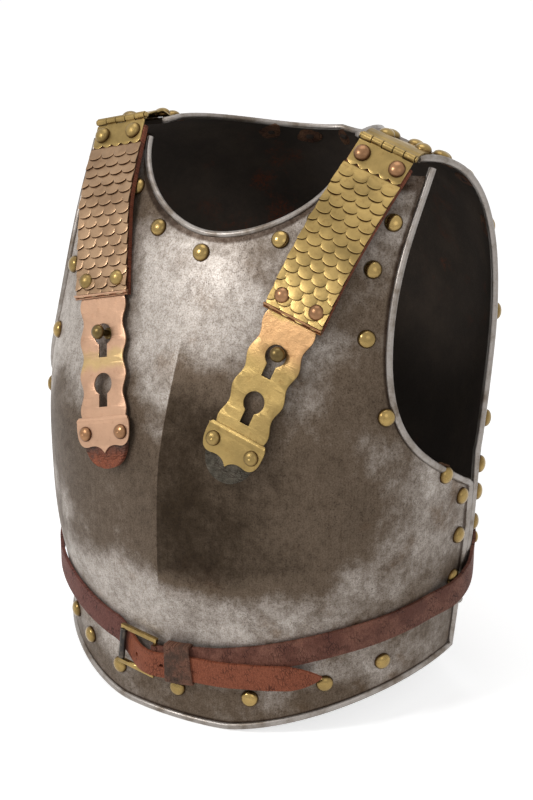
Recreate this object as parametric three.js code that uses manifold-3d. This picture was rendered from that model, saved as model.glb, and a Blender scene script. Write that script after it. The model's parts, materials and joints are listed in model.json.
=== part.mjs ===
// Cuirass: a ridged breastplate and a backplate, joined by two scaled shoulder straps and a waist belt.
// Millimetres, +Z up. The wearer faces -Y, so the wearer's left side is +X.
import * as THREE from 'three';
import { mergeVertices } from 'three/addons/utils/BufferGeometryUtils.js';
import Module from 'manifold-3d';

const wasm = await Module();
wasm.setup();

// Plates, overall
const plateHeight = 438; // breastplate, from the standing rim to the shoulder tips
const plateHalfWidth = 181; // half the width at the arm openings
const chestDepth = 176; // from the side edges forward to the fullest point of the ridge
const backDepth = 132; // from the side edges back to the shoulder blades
const plateThickness = 3;
const seatGap = 0.3; // between pieces that rest on each other
const ridgeRise = 5; // of the medial ridge above the round of the chest
const ridgeSpread = 80; // half the width that the ridge dies out over

// Breastplate outline
const neckHeight = 387; // lowest point of the front neck edge
const neckHalfWidth = 85; // at the shoulder tips
const armHalfWidth = 150; // from the centre to the arm edge at the shoulder tips
const armpitHeight = 187;
const rightTipDrop = 20; // of the wearer's right shoulder edge, from its neck end to its arm end
const armWaist = 16; // how far the arm edge swings inward below the shoulder tip
const cornerRise = 35; // of the lower rim at the side edges
const standHalfWidth = 46; // of the flat stretch that the plate stands on

// Backplate outline
const backArmpitHeight = 200;
const backCornerRise = 74;
const springHeight = 300; // where the back starts to curve forward over the shoulders
const shoulderStep = 18; // of the back's shoulders beside the neck, above the breastplate's tips
const backTopHeight = plateHeight + shoulderStep;
const shoulderDrop = 13; // of the shoulder from the neck edge out to the arm edge
const rightSag = 14; // how much lower the wearer's right shoulder of the backplate sits
const shoulderOverhang = 28; // front edge of the shoulders, forward of the side edges
const backNeckShare = 0.46; // of the curve over the shoulder, left at the middle of the back neck edge

// Rolled rims
const rimWidth = 7;
const rimRise = 2.4;
const neckRimWidth = 5;

// Domed edge rivets
const rivetRadius = 7;
const rivetRise = 5;
const rivetSink = 2.7;
const rivetInset = 15; // from an edge to a rivet's centre
const lowerRivetInset = 27; // on the waist flange
const flankRivetInset = 16;

// Shoulder straps
const strapWidth = 46;
const scaleWidth = 49;
const strapClearance = 0.5; // from the breastplate to the strap
const tipLeatherThickness = 2.5;
const endPlateThickness = 1.2;
const leatherThickness = tipLeatherThickness + seatGap + endPlateThickness;
const endPlateWidth = 44;
const endPlateWave = 1.6; // depth of the waves along its edges
const endPlateTuck = 20; // length under the last scales
const leafThickness = 1.4;
const leafLength = 23;
const scaleThickness = 1.2;
const scaleRise = 0.7; // of a scale's lower edge over one row
const scaleRows = 15;
const scaleLobes = 4;
const scaleOverlap = 3.2;
const scaleNotchShare = 0.34; // depth of the notch between two scales
const barReach = 145; // from the hinge pin down to the folded bar under the scales
const barHeight = 3.6;
const barDepth = 3.2;
const barRivetInset = 13; // from the folded bar up to the lower pair of strap rivets
const leafRivetReach = 13;
const keyholeReach = 174; // from the hinge pin to the upper keyhole's round
const keyholeSpacing = 38;
const keyholeRadius = 8.5;
const keyholeSlotWidth = 8;
const keyholeSlotLength = 17.5; // from the round's centre to the slot's end
const capReach = 237; // from the hinge pin to the end cap's straight edge
const capLength = 27;
const capWidth = 50;
const capThickness = 1.2;
const capRivetInset = 12; // from the cap's straight edge to its rivets
const capRivetSpacing = 34;
const tipLength = 39; // of the leather tip past the cap's straight edge
const strapRivetRadius = 6.5;
const strapRivetRise = 5;
const scaleRivetRise = 6.2; // of the lower pair, which stand through the scales
const strapRivetSpacing = 30;
const capRivetRadius = 5.8;
const capRivetRise = 3.6;

const scaleRivetReach = barReach - barRivetInset;
const capRivetReach = capReach + capRivetInset;
const tipReach = capReach + tipLength;

// Strap hinges, one on each shoulder
const pinRadius = 1.3;
const pinClearance = 0.1;
const knuckleRadius = 3.1;
const knuckleCount = 5;
const knuckleGap = 0.5;
const pinOverhang = 1.5;
const fixedLeafLength = 21;
const pinHeadRadius = 2.2;
const pinHeadThickness = 1.2;
const fixedRivetInset = 7; // from the fixed leaf's sides to its rivets
const shoulderRivetReach = 31; // from the shoulder's front edge to the rivets behind the leaf
const leftHinge = { side: 1, besideNeck: 32.5, ahead: 8, drop: 3, tilt: 15.5 };
const rightHinge = { side: -1, besideNeck: 28.5, ahead: 17, drop: 13, tilt: 16.5 };

// Studs on the breastplate that the keyholes hook over
const studHeadRadius = 5.8;
const studNeckRadius = 2.6;
const studFootRadius = 4.5;
const studFootThickness = 1;
const studHeadLift = 2.4; // from the end plate's outer face to the head's underside

// Waist belt
const beltWidth = 21;
const beltThickness = 2.5;
const beltFrontHeight = 57;
const beltEndHeight = 130;
const beltEndReach = 24; // behind the side edges, where each strap is riveted down
const beltSpan = 0.6; // clearance between the belt and the plates
const beltRivetRadius = 5;
const beltRivetRise = 3.2;
const beltRivetInset = 8; // from the strap's end to its rivet
const rollerAcross = -42; // distance along the belt from the middle of the front to the roller
const hingeBarAcross = -11.5;
const buckleRod = 3.4;
const buckleSide = 16.2; // from the buckle's middle to the middle of its side rods
const buckleHang = 7.5; // of the buckle's middle below the belt's line
const hingeBarRadius = 1.7;
const rollerBarRadius = 1.3;
const rollerRadius = 2.6;
const rollerClearance = 0.1;
const rollerEndGap = 0.4;
const loopThickness = 1.2; // of the pared leather round the hinge bar
const keeperAcross = 12;
const keeperWidth = 22;
const keeperThickness = 1.2;
const keeperPlay = 1;
const keeperRest = 0.5; // clearance between the keeper's back and the belt
const beltTipAcross = 122; // where the pointed end lies
const beltTipDrop = 22; // of the pointed end below the belt
const beltTipPoint = 26; // length of the point
const beltRamp = 16; // length over which the belt rises or falls by a layer
const beltHoleRadius = 1.6;
const beltHoleAcross = [-26.5, -2.5];
const beltStep = 9; // between the belt's bends

// Mesh fineness
const plateColumns = 9; // over half the width
const plateRows = 12;
const rivetSides = 8;
const bandSteps = 14;
const cutReach = 12; // how far a cutter runs past what it cuts
const roundSides = 12; // of pins, bars and knuckles
const curveSteps = 8; // along each curved stretch of an outline
const endPlateWaves = 4.5; // along each side of an end plate
const endPlateSteps = 18; // along each side of an end plate
const strapSamples = 35; // places where a strap is tried against the chest
const strapBends = 9;
const beltSamples = 40; // places round each half where the belt is tried against the plates
const beltBends = 28;
const weldReach = 1e-4; // corners this close are one corner

// Shares: height share, then share of the size named
const halfWidthShares = [[0, 0.898], [0.17, 0.943], [0.32, 0.983], [0.48, 1], [1.1, 1]];
const chestDepthShares = [[0, 0.921], [0.14, 0.912], [0.27, 0.993], [0.39, 1], [0.52, 0.972],
  [0.7, 0.797], [0.86, 0.601], [1, 0.312], [1.1, 0.12]];
const backDepthShares = [[0, 0.76], [0.13, 0.64], [0.3, 0.76], [0.5, 0.92], [0.68, 1], [1.1, 1]];
const sideSetShares = [[0, 0], [0.45, 0], [0.68, 0.032], [1, 0.099], [1.1, 0.11]];
const ridgeShares = [[0, 0], [0.12, 0.1], [0.22, 1], [0.6, 1], [0.86, 0.15], [1, 0], [1.1, 0]];
const frontPowerShares = [[0, 2.2], [0.68, 2.2], [1, 1.88], [1.1, 1.85]];
const backPowerShares = [[0, 1.6], [0.35, 1.6], [0.68, 2], [1.1, 2]];
const beltRiseShares = [[0, 0], [0.16, 0.09], [0.4, 0.31], [0.6, 0.42], [0.76, 0.49], [0.85, 0.62], [1, 1]];
const tipHangShares = [[-9, 0], [-0.5, 0], [-0.41, 0], [-0.28, 0.36], [-0.205, 0.47], [-0.08, 0.45],
  [0.1, 0.36], [0.46, 0.52], [0.79, 0.8], [1, 1], [1.3, 1.2]];
const buckleHangShares = [[-0.2, 0.43], [-0.09, 0.295], [0.1, 0.07], [0.29, 0], [9, 0]];
const leftArmRivetShares = [[0.075, 0.1], [0.314, 0.45], [0.545, 1.05], [0.735, 1.3], [0.857, 1.05]];
const rightArmRivetShares = [[-0.03, 0.2], [0.133, 0.5], [0.367, 0.7], [0.581, 1], [0.773, 1]];
const shoulderRivetShares = [0.66, 0.8, 0.94];
const sideRivetShares = [0.574, 0.778, 0.96];
const neckRivetShares = [-0.66, -0.35, 0, 0.46, 0.66];
const lowerRivetShares = [-0.9, -0.72, -0.56, -0.32, 0.04, 0.41, 0.72, 0.91];
const rimRiseShares = [0.55, 1, 1, 0];
const rimWidthShares = [0, 0.3, 0.85, 1.15];

const armSwingShare = 0.22; // height of the arm edge's bend between armpit and tip
const armpitShare = 0.4; // of the rows of a plate, below the armpit
const neckEdgeShare = 0.62; // of the columns of the breastplate, inside the neck
const neckBendShare = 1.15; // how round the neck edge is, where 1 is an ellipse

// A smooth reading of a table of shares
function reading(table, at) {
  const curve = new THREE.CubicInterpolant(table.map((row) => row[0]), table.map((row) => row[1]), 1);
  return curve.evaluate(at)[0];
}

const lerp = THREE.MathUtils.lerp;
const clamp = THREE.MathUtils.clamp;
const rightAngle = Math.PI / 2;

function halfWidthAt(z) {
  return plateHalfWidth * reading(halfWidthShares, z / plateHeight);
}

// The angle round a section at which the plate is a given distance from the middle
function angleAt(x, z, powers) {
  const share = clamp(Math.abs(x) / halfWidthAt(z), 0, 1);
  return Math.sign(x) * Math.asin(share ** (reading(powers, z / plateHeight) / 2));
}

// Outer face of the breastplate, by angle round the chest and by height
function chestPoint(angle, z) {
  const share = z / plateHeight;
  const power = 2 / reading(frontPowerShares, share);
  const x = Math.sign(angle) * halfWidthAt(z) * Math.sin(Math.abs(angle)) ** power;
  const sideSet = chestDepth * reading(sideSetShares, share);
  const rise = ridgeRise * reading(ridgeShares, share);
  const depth = chestDepth * reading(chestDepthShares, share) + sideSet - rise;
  const ridge = rise * Math.max(1 - Math.abs(x) / ridgeSpread, 0) ** 2;
  const round = Math.max(Math.cos(angle), 0) ** power;
  return new THREE.Vector3(x, sideSet - depth * round - ridge, z);
}

// Outer face of the backplate, by angle and by rise; past the spring the rise runs forward over the shoulder
const napePower = 3; // how square the back's curve is behind the neck, where 2 is round
const overLength = rightAngle * (backTopHeight - springHeight);
function backPoint(angle, rise) {
  const z = Math.min(rise, springHeight);
  const power = 2 / reading(backPowerShares, z / plateHeight);
  const x = Math.sign(angle) * halfWidthAt(z) * Math.sin(Math.abs(angle)) ** power;
  const depth = backDepth * reading(backDepthShares, z / plateHeight) - seatGap;
  const y = seatGap + depth * Math.max(Math.cos(angle), 0) ** power;
  if (rise <= springHeight) return new THREE.Vector3(x, y, rise);
  const turn = (rise - springHeight) / overLength * rightAngle;
  const beside = Math.abs(x) / neckHalfWidth;
  const out = clamp((beside - 1) / (armHalfWidth / neckHalfWidth - 1), 0, 1);
  const sag = rightSag * THREE.MathUtils.smoothstep(-x / neckHalfWidth, 0, 1);
  const top = backTopHeight - shoulderDrop * out - sag;
  const round = 2 / lerp(napePower, 2, Math.min(beside, 1));
  return new THREE.Vector3(x, lerp(-shoulderOverhang, y, Math.max(Math.cos(turn), 0) ** round),
    springHeight + (top - springHeight) * Math.sin(turn) ** round);
}

// Outward direction of a surface, from two small steps on it that stay short of the side edge
function outwardAt(surface, angle, rise, facing) {
  const step = 1e-3;
  const lift = step * plateHeight;
  const turn = clamp(angle, 2 * step - rightAngle, rightAngle - 2 * step);
  const across = surface(turn + step, rise).sub(surface(turn - step, rise));
  const up = surface(turn, rise + lift).sub(surface(turn, rise - lift));
  return across.cross(up).normalize().multiplyScalar(facing);
}

// The breastplate's arm edge from the armpit up to the shoulder tip, as distance from the middle and height
function armEdgeAt(share, side) {
  const tip = plateHeight - (side < 0 ? rightTipDrop : 0);
  const swing = armpitHeight + (tip - armpitHeight) * armSwingShare;
  const edge = new THREE.CubicBezierCurve(
    new THREE.Vector2(halfWidthAt(armpitHeight), armpitHeight),
    new THREE.Vector2(halfWidthAt(armpitHeight), swing),
    new THREE.Vector2(armHalfWidth - armWaist, swing),
    new THREE.Vector2(armHalfWidth, tip),
  );
  return edge.getPoint(share);
}

// Breastplate borders, each as angle and height along one half
const chestBorders = {
  side(share, side) {
    if (share <= armpitShare) {
      return [rightAngle, lerp(cornerRise, armpitHeight, share / armpitShare)];
    }
    const at = armEdgeAt((share - armpitShare) / (1 - armpitShare), side);
    return [angleAt(at.x, at.y, frontPowerShares), at.y];
  },
  top(share, side) {
    if (share >= neckEdgeShare) {
      const along = (share - neckEdgeShare) / (1 - neckEdgeShare);
      const z = plateHeight - (side < 0 ? rightTipDrop * along : 0);
      return [angleAt(lerp(neckHalfWidth, armHalfWidth, along), z, frontPowerShares), z];
    }
    const turn = share / neckEdgeShare * rightAngle;
    const z = lerp(plateHeight, neckHeight, Math.cos(turn) ** neckBendShare);
    return [angleAt(neckHalfWidth * Math.sin(turn) ** neckBendShare, z, frontPowerShares), z];
  },
  foot(share) {
    const across = chestPoint(share * rightAngle, 0).x;
    return [share * rightAngle, cornerRise * pastStand(across) ** 1.4];
  },
};

// How far along the curved part of a lower rim a place is, past the flat stretch that stands on the ground
function pastStand(x) {
  return Math.max(Math.abs(x) - standHalfWidth, 0) / (halfWidthAt(0) - standHalfWidth);
}

// Backplate borders, in the same way, as angle and rise
const backTopRise = springHeight + overLength;
const backBorders = {
  side(share) {
    if (share <= armpitShare) {
      return [rightAngle, lerp(backCornerRise, backArmpitHeight, share / armpitShare)];
    }
    const along = (share - armpitShare) / (1 - armpitShare);
    const rise = lerp(backArmpitHeight, backTopRise, along);
    const across = lerp(plateHalfWidth, armHalfWidth - armWaist * 0.6, along ** 2.2);
    return [angleAt(across, Math.min(rise, springHeight), backPowerShares), rise];
  },
  top(share) {
    const across = lerp(0, armHalfWidth - armWaist * 0.6, share);
    const turn = Math.min(across / neckHalfWidth, 1) * rightAngle;
    const rise = springHeight + overLength * lerp(1, backNeckShare, Math.max(Math.cos(turn), 0) ** 0.55);
    return [angleAt(across, springHeight, backPowerShares), rise];
  },
  foot(share) {
    const across = backPoint(share * rightAngle, 0).x;
    return [share * rightAngle, backCornerRise * pastStand(across) ** 2.2];
  },
};

// Angle and rise inside the borders: the three borders and the middle line blended together
function insideBorders(borders, across, up, side) {
  const edge = borders.side(up, side);
  const top = borders.top(across, side);
  const foot = borders.foot(across);
  const topMiddle = borders.top(0, side);
  const topCorner = borders.top(1, side);
  const footCorner = borders.foot(1);
  return [0, 1].map((axis) => {
    const middle = axis === 0 ? 0 : topMiddle[1] * up;
    const sides = lerp(middle, edge[axis], across);
    const ends = lerp(foot[axis], top[axis], up);
    const corners = lerp(across * footCorner[axis], lerp(topMiddle[axis], topCorner[axis], across), up);
    return sides + ends - corners;
  });
}

// Shares of a run of cells with extra lines where a rim of the given width lies at an end
function rimmedShares(cells, length, lowWidth, highWidth) {
  const low = rimWidthShares.map((share) => share * lowWidth / length);
  const high = rimWidthShares.map((share) => 1 - share * highWidth / length).reverse();
  const start = lowWidth > 0 ? low : [0];
  const end = highWidth > 0 ? high : [1];
  const first = start[start.length - 1];
  const last = end[0];
  const inner = [];
  for (let i = 1; i < cells; i += 1) inner.push(lerp(first, last, i / cells));
  return [...start, ...inner, ...end];
}

// How far a rolled rim stands out, by the distance in from the edge
function rimRiseAt(distance, width) {
  if (width <= 0 || distance > width * 1.16) return 0;
  const shares = rimWidthShares.map((share, i) => [share * width, rimRiseShares[i]]);
  for (let i = 1; i < shares.length; i += 1) {
    if (distance <= shares[i][0] * 1.0001) {
      const along = (distance - shares[i - 1][0]) / (shares[i][0] - shares[i - 1][0]);
      return rimRise * lerp(shares[i - 1][1], shares[i][1], clamp(along, 0, 1));
    }
  }
  return 0;
}

function toGeometry(vertices, triangles) {
  const geometry = new THREE.BufferGeometry();
  geometry.setAttribute('position', new THREE.Float32BufferAttribute(vertices, 3));
  geometry.setIndex(triangles);
  return geometry;
}

// A closed shell between an outer and an inner sheet of points
function shell(outer, inner) {
  const rows = outer.length;
  const columns = outer[0].length;
  const vertices = [...outer.flat(), ...inner.flat()].flatMap((p) => [p.x, p.y, p.z]);
  const at = (sheet, i, j) => sheet * rows * columns + i * columns + j;
  const triangles = [];
  const quad = (a, b, c, d) => triangles.push(a, b, c, a, c, d);
  for (let i = 0; i < rows - 1; i += 1) {
    for (let j = 0; j < columns - 1; j += 1) {
      quad(at(0, i, j), at(0, i, j + 1), at(0, i + 1, j + 1), at(0, i + 1, j));
      quad(at(1, i, j), at(1, i + 1, j), at(1, i + 1, j + 1), at(1, i, j + 1));
    }
  }
  for (let j = 0; j < columns - 1; j += 1) {
    quad(at(0, 0, j), at(1, 0, j), at(1, 0, j + 1), at(0, 0, j + 1));
    quad(at(0, rows - 1, j), at(0, rows - 1, j + 1), at(1, rows - 1, j + 1), at(1, rows - 1, j));
  }
  for (let i = 0; i < rows - 1; i += 1) {
    quad(at(0, i, 0), at(0, i + 1, 0), at(1, i + 1, 0), at(1, i, 0));
    quad(at(0, i, columns - 1), at(1, i, columns - 1), at(1, i + 1, columns - 1), at(0, i + 1, columns - 1));
  }
  return toGeometry(vertices, triangles);
}

// A plate with its rolled rims, from the sheet inside its borders
function plate(surface, borders, facing, rims) {
  const length = plateHeight;
  const ups = rimmedShares(plateRows, length, rims.foot, rims.top);
  const outer = [];
  const inner = [];
  for (const up of ups) {
    const girth = lerp(plateHalfWidth * 1.35, armHalfWidth * 1.1, up);
    const half = rimmedShares(plateColumns, girth, 0, rims.side);
    const acrosses = [...half.slice(1).reverse().map((share) => -share), ...half];
    const outerRow = [];
    const innerRow = [];
    for (const across of acrosses) {
      const [angle, rise] = insideBorders(borders, Math.abs(across), up, Math.sign(across));
      const signed = Math.sign(across) * angle;
      const base = surface(signed, rise);
      const outward = outwardAt(surface, signed, rise, facing);
      const lift = Math.max(
        rimRiseAt(up * length, rims.foot),
        Math.abs(across) < rims.topReach ? rimRiseAt((1 - up) * length, rims.top) : 0,
        rimRiseAt((1 - Math.abs(across)) * girth, rims.side),
      );
      if (up === 0) outward.setZ(0).normalize();
      outerRow.push(base.clone().addScaledVector(outward, lift));
      innerRow.push(base.clone().addScaledVector(outward, -plateThickness));
    }
    outer.push(outerRow);
    inner.push(innerRow);
  }
  return facing > 0 ? shell(outer, inner) : shell(inner, outer);
}

// Solids for joining and cutting
function toSolid(geometry) {
  const bare = geometry.clone();
  bare.deleteAttribute('normal');
  bare.deleteAttribute('uv');
  const merged = mergeVertices(bare, weldReach);
  return new wasm.Manifold(new wasm.Mesh({
    numProp: 3,
    vertProperties: new Float32Array(merged.attributes.position.array),
    triVerts: new Uint32Array(merged.index.array),
  }));
}

function fromSolid(solid) {
  const mesh = solid.getMesh();
  return toGeometry(Array.from(mesh.vertProperties), Array.from(mesh.triVerts));
}

function joined(geometries) {
  return fromSolid(geometries.map(toSolid).reduce((all, next) => all.add(next)));
}

function cut(geometry, cutters) {
  return fromSolid(cutters.map(toSolid).reduce((left, next) => left.subtract(next), toSolid(geometry)));
}

function within(geometry, limit) {
  return fromSolid(toSolid(geometry).intersect(toSolid(limit)));
}

// A frame with its third direction along the given one, as a matrix
function frameAt(origin, x, y, z) {
  return new THREE.Matrix4().makeBasis(x, y, z).setPosition(origin);
}

function frameAlong(origin, outward) {
  const side = new THREE.Vector3(0, 0, 1).cross(outward);
  if (side.length() < 0.1) side.set(1, 0, 0);
  side.normalize();
  return frameAt(origin, side, outward.clone().cross(side), outward);
}

// A domed head standing on its frame's origin
function dome(radius, rise, sink, sides = rivetSides) {
  const profile = [
    new THREE.Vector2(0, -sink),
    new THREE.Vector2(radius, -sink),
    new THREE.Vector2(radius * 0.76, rise * 0.74),
    new THREE.Vector2(0, rise),
  ];
  return new THREE.LatheGeometry(profile, sides).rotateX(rightAngle);
}

// The share along the arm edge at which it reaches a height
function armShareAt(z, side) {
  let low = 0;
  let high = 1;
  for (let halving = 0; halving < 30; halving += 1) {
    const middle = (low + high) / 2;
    if (armEdgeAt(middle, side).y < z) low = middle;
    else high = middle;
  }
  return low;
}

// Rivet places on the breastplate
function chestRivets() {
  const places = [];
  for (const share of neckRivetShares) {
    const turn = Math.abs(share) * rightAngle;
    const x = (neckHalfWidth + rivetInset * 0.6) * Math.sin(turn) ** neckBendShare;
    const edge = lerp(plateHeight, neckHeight, Math.cos(turn) ** neckBendShare);
    places.push([Math.sign(share) * x, edge - rivetInset * Math.cos(turn / 2)]);
  }
  for (const side of [1, -1]) {
    for (const [share, inset] of side > 0 ? leftArmRivetShares : rightArmRivetShares) {
      const z = lerp(armpitHeight, plateHeight, share);
      places.push([side * (armEdgeAt(armShareAt(z, side), side).x - rivetInset * inset), z]);
    }
    for (const share of sideRivetShares) {
      const z = armpitHeight * share;
      places.push([side * chestPoint(rightAngle - flankRivetInset / chestDepth, z).x, z]);
    }
  }
  for (const share of lowerRivetShares) {
    const x = halfWidthAt(0) * share;
    places.push([x, lowerRivetInset + cornerRise * pastStand(x) ** 1.4]);
  }
  return places.map(([x, z]) => {
    const angle = angleAt(x, z, frontPowerShares);
    return frameAlong(chestPoint(angle, z), outwardAt(chestPoint, angle, z, 1));
  });
}

// Rivet places on the backplate
function backRivets() {
  const places = [];
  const add = (across, up) => {
    const side = across < 0 ? -1 : 1;
    const [angle, rise] = insideBorders(backBorders, Math.abs(across), up, side);
    places.push([side * angle, rise]);
  };
  for (const share of neckRivetShares) add(share * 0.55, 1 - rivetInset / plateHeight);
  for (const side of [1, -1]) {
    for (const [share] of leftArmRivetShares) {
      add(side * (1 - rivetInset / plateHalfWidth), lerp(armpitShare, 1, share));
    }
    for (const share of shoulderRivetShares) {
      const x = side * armHalfWidth * share;
      const rise = shoulderRise(x, shoulderRivetReach - shoulderOverhang);
      places.push([angleAt(x, springHeight, backPowerShares), rise]);
    }
    for (const share of sideRivetShares) {
      add(side * (1 - flankRivetInset / plateHalfWidth), armpitShare * share * 0.96);
    }
  }
  for (const share of lowerRivetShares) add(share * 0.9, rivetInset / plateHeight);
  return places.map(([angle, rise]) => {
    const outward = outwardAt(backPoint, angle, rise, -1);
    return frameAlong(backPoint(angle, rise), outward);
  });
}

function rivetedPlate(bare, frames) {
  const rivet = dome(rivetRadius, rivetRise, rivetSink);
  return joined([bare, ...frames.map((frame) => rivet.clone().applyMatrix4(frame))]);
}

// A strap hinge's directions: straight ahead, up the strap, and along the pin
function hingeAxes(hinge) {
  const tilt = THREE.MathUtils.degToRad(hinge.tilt);
  const ahead = new THREE.Vector3(0, -1, 0);
  const up = new THREE.Vector3(hinge.side * Math.sin(tilt), 0, Math.cos(tilt));
  const origin = new THREE.Vector3(
    hinge.side * (neckHalfWidth + hinge.besideNeck),
    -shoulderOverhang - hinge.ahead,
    backTopHeight - hinge.drop,
  );
  return { origin, ahead, up, across: ahead.clone().cross(up) };
}

// The breastplate's outer face ahead of the hinge at a place, as the distance forward of the pin
function chestReach(axes, down, aside) {
  const at = axes.origin.clone().addScaledVector(axes.across, aside).addScaledVector(axes.up, -down);
  if (at.z > plateHeight) return -Infinity;
  const onNeckRim = at.z > neckHeight && Math.abs(at.x) < neckHalfWidth + 2 * neckRimWidth;
  const lift = onNeckRim ? 2.4 * rimRise : 0;
  return lift + axes.origin.y - chestPoint(angleAt(at.x, at.z, frontPowerShares), at.z).y;
}

// Which way three points turn; positive where the line bends back toward the chest
function bend(a, b, c) {
  return (b.y - a.y) * (c.x - b.x) - (b.x - a.x) * (c.y - b.y);
}

// The line that a taut strap takes from its hinge down over the chest, in the plane square to the pin
function strapLine(axes) {
  const shoulderPad = leatherThickness + seatGap + leafThickness / 2;
  const touches = [];
  for (let i = 1; i <= strapSamples; i += 1) {
    const down = i / strapSamples * 1.05 * tipReach;
    const reaches = [-1, -0.5, 0, 0.5, 1].map((part) => chestReach(axes, down, part * capWidth / 2));
    const reach = Math.max(...reaches);
    if (reach > -Infinity) touches.push(new THREE.Vector2(reach + strapClearance, -down));
  }
  let line = [];
  let start = new THREE.Vector2(0, 0);
  for (let round = 0; round < 4; round += 1) {
    line = [start];
    for (const touch of touches) {
      while (line.length > 1 && bend(line.at(-2), line.at(-1), touch) <= 0) line.pop();
      line.push(touch);
    }
    const along = line[1].clone().sub(start).normalize();
    start = new THREE.Vector2(along.y, -along.x).multiplyScalar(shoulderPad);
  }
  const path = new THREE.CurvePath();
  for (let i = 1; i < line.length; i += 1) path.add(new THREE.LineCurve(line[i - 1], line[i]));
  return new THREE.SplineCurve(path.getSpacedPoints(strapBends));
}

// A place on a strap: so far down from the pin along its underside, and so far out from it
function strapPlace(line, reach, out) {
  const along = clamp(reach / line.getLength(), 0, 1);
  const tangent = line.getTangentAt(along);
  const place = line.getPointAt(along);
  return new THREE.Vector2(place.x - tangent.y * out, place.y + tangent.x * out);
}

function extruded(shape, depth, centred = true) {
  const solid = new THREE.ExtrudeGeometry(shape, { depth, bevelEnabled: false, curveSegments: curveSteps });
  return centred ? solid.translate(0, 0, -depth / 2) : solid;
}

// A band that follows the strap, its outer face stepping between the given reaches
function strapBand(line, width, low, steps) {
  const under = [];
  const over = [];
  steps.forEach(([from, to, high], index) => {
    const count = Math.max(1, Math.round((to - from) / tipReach * bandSteps * 1.6));
    for (let i = 0; i <= count; i += 1) {
      const reach = lerp(from, to, i / count);
      over.push(strapPlace(line, reach, high));
      if (i > 0 || index === 0) under.push(strapPlace(line, reach, low));
    }
  });
  return extruded(new THREE.Shape([...under, ...over.reverse()]), width);
}

// A prism square to the strap at a place, from an outline across and down the strap
function strapPrism(line, reach, outline, low = -cutReach, high = cutReach) {
  const along = clamp(reach / line.getLength(), 0, 1);
  const tangent = line.getTangentAt(along);
  const down = new THREE.Vector3(tangent.x, tangent.y, 0);
  const across = new THREE.Vector3(0, 0, 1);
  const place = line.getPointAt(along);
  const frame = frameAt(new THREE.Vector3(place.x, place.y, 0), across, down, across.clone().cross(down));
  return extruded(outline, high - low, false).translate(0, 0, low).applyMatrix4(frame);
}

function box(width, low, high) {
  return new THREE.Shape([
    new THREE.Vector2(-width / 2, low),
    new THREE.Vector2(width / 2, low),
    new THREE.Vector2(width / 2, high),
    new THREE.Vector2(-width / 2, high),
  ]);
}

function disc(radius, x = 0, y = 0) {
  const outline = new THREE.Shape();
  outline.absarc(x, y, radius, 0, 4 * rightAngle);
  return outline;
}

// A round hole with a slot running down from it
function keyholeOutline() {
  const side = Math.asin(keyholeSlotWidth / 2 / keyholeRadius);
  const outline = new THREE.Shape();
  outline.moveTo(keyholeSlotWidth / 2, keyholeSlotLength);
  outline.absarc(0, 0, keyholeRadius, rightAngle - side, rightAngle + side, true);
  outline.lineTo(-keyholeSlotWidth / 2, keyholeSlotLength);
  return outline;
}

// The end plate's outline, waved along both sides
function endPlateOutline(length) {
  const side = [];
  for (let i = 0; i <= endPlateSteps; i += 1) {
    const along = i / endPlateSteps;
    const wave = endPlateWave * Math.cos(along * endPlateWaves * 4 * rightAngle);
    side.push(new THREE.Vector2(endPlateWidth / 2 - endPlateWave + wave, along * length));
  }
  return new THREE.Shape([...side, ...side.map((p) => new THREE.Vector2(-p.x, p.y)).reverse()]);
}

// The end cap's outline: two lobes round its rivets and a point between them
function capOutline() {
  const half = capWidth / 2;
  const outline = new THREE.Shape();
  outline.moveTo(-half * 0.92, 0);
  outline.lineTo(half * 0.92, 0);
  outline.quadraticCurveTo(half * 1.03, capLength * 0.08, half, capLength * 0.4);
  outline.quadraticCurveTo(half * 0.97, capLength * 0.86, half * 0.6, capLength * 0.82);
  outline.quadraticCurveTo(half * 0.2, capLength * 0.72, 0, capLength);
  outline.quadraticCurveTo(-half * 0.2, capLength * 0.72, -half * 0.6, capLength * 0.82);
  outline.quadraticCurveTo(-half * 0.97, capLength * 0.86, -half, capLength * 0.4);
  outline.quadraticCurveTo(-half * 1.03, capLength * 0.08, -half * 0.92, 0);
  return outline;
}

// The leather tip's outline, round at its end
function tipOutline(length) {
  const half = endPlateWidth / 2 - endPlateWave;
  const outline = new THREE.Shape();
  outline.moveTo(-half, 0);
  outline.lineTo(half, 0);
  outline.lineTo(half, length * 0.45);
  outline.bezierCurveTo(half, length * 0.85, half * 0.5, length, 0, length);
  outline.bezierCurveTo(-half * 0.5, length, -half, length * 0.85, -half, length * 0.45);
  return outline;
}

// One row of scales: straight above, scalloped below, every other row set over by half a scale
function scaleOutline(length, offset) {
  const lobe = scaleWidth / scaleLobes;
  const notch = lobe * scaleNotchShare;
  const points = [new THREE.Vector2(scaleWidth / 2, 0), new THREE.Vector2(-scaleWidth / 2, 0)];
  const drops = [[0, notch], [0.22, 0], [0.78, 0]];
  for (let index = -1; index <= scaleLobes; index += 1) {
    for (const [share, drop] of drops) {
      const x = (index + share + offset) * lobe - scaleWidth / 2;
      const inside = Math.abs(x) <= scaleWidth / 2;
      if (inside) points.push(new THREE.Vector2(x, length - drop));
    }
  }
  if (offset === 0) points.push(new THREE.Vector2(scaleWidth / 2, length - notch));
  else points.splice(2, 0, new THREE.Vector2(-scaleWidth / 2, length));
  if (offset !== 0) points.push(new THREE.Vector2(scaleWidth / 2, length));
  return new THREE.Shape(points);
}

const scaleLow = leatherThickness + seatGap;
const leafHigh = scaleLow + leafThickness;

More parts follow.
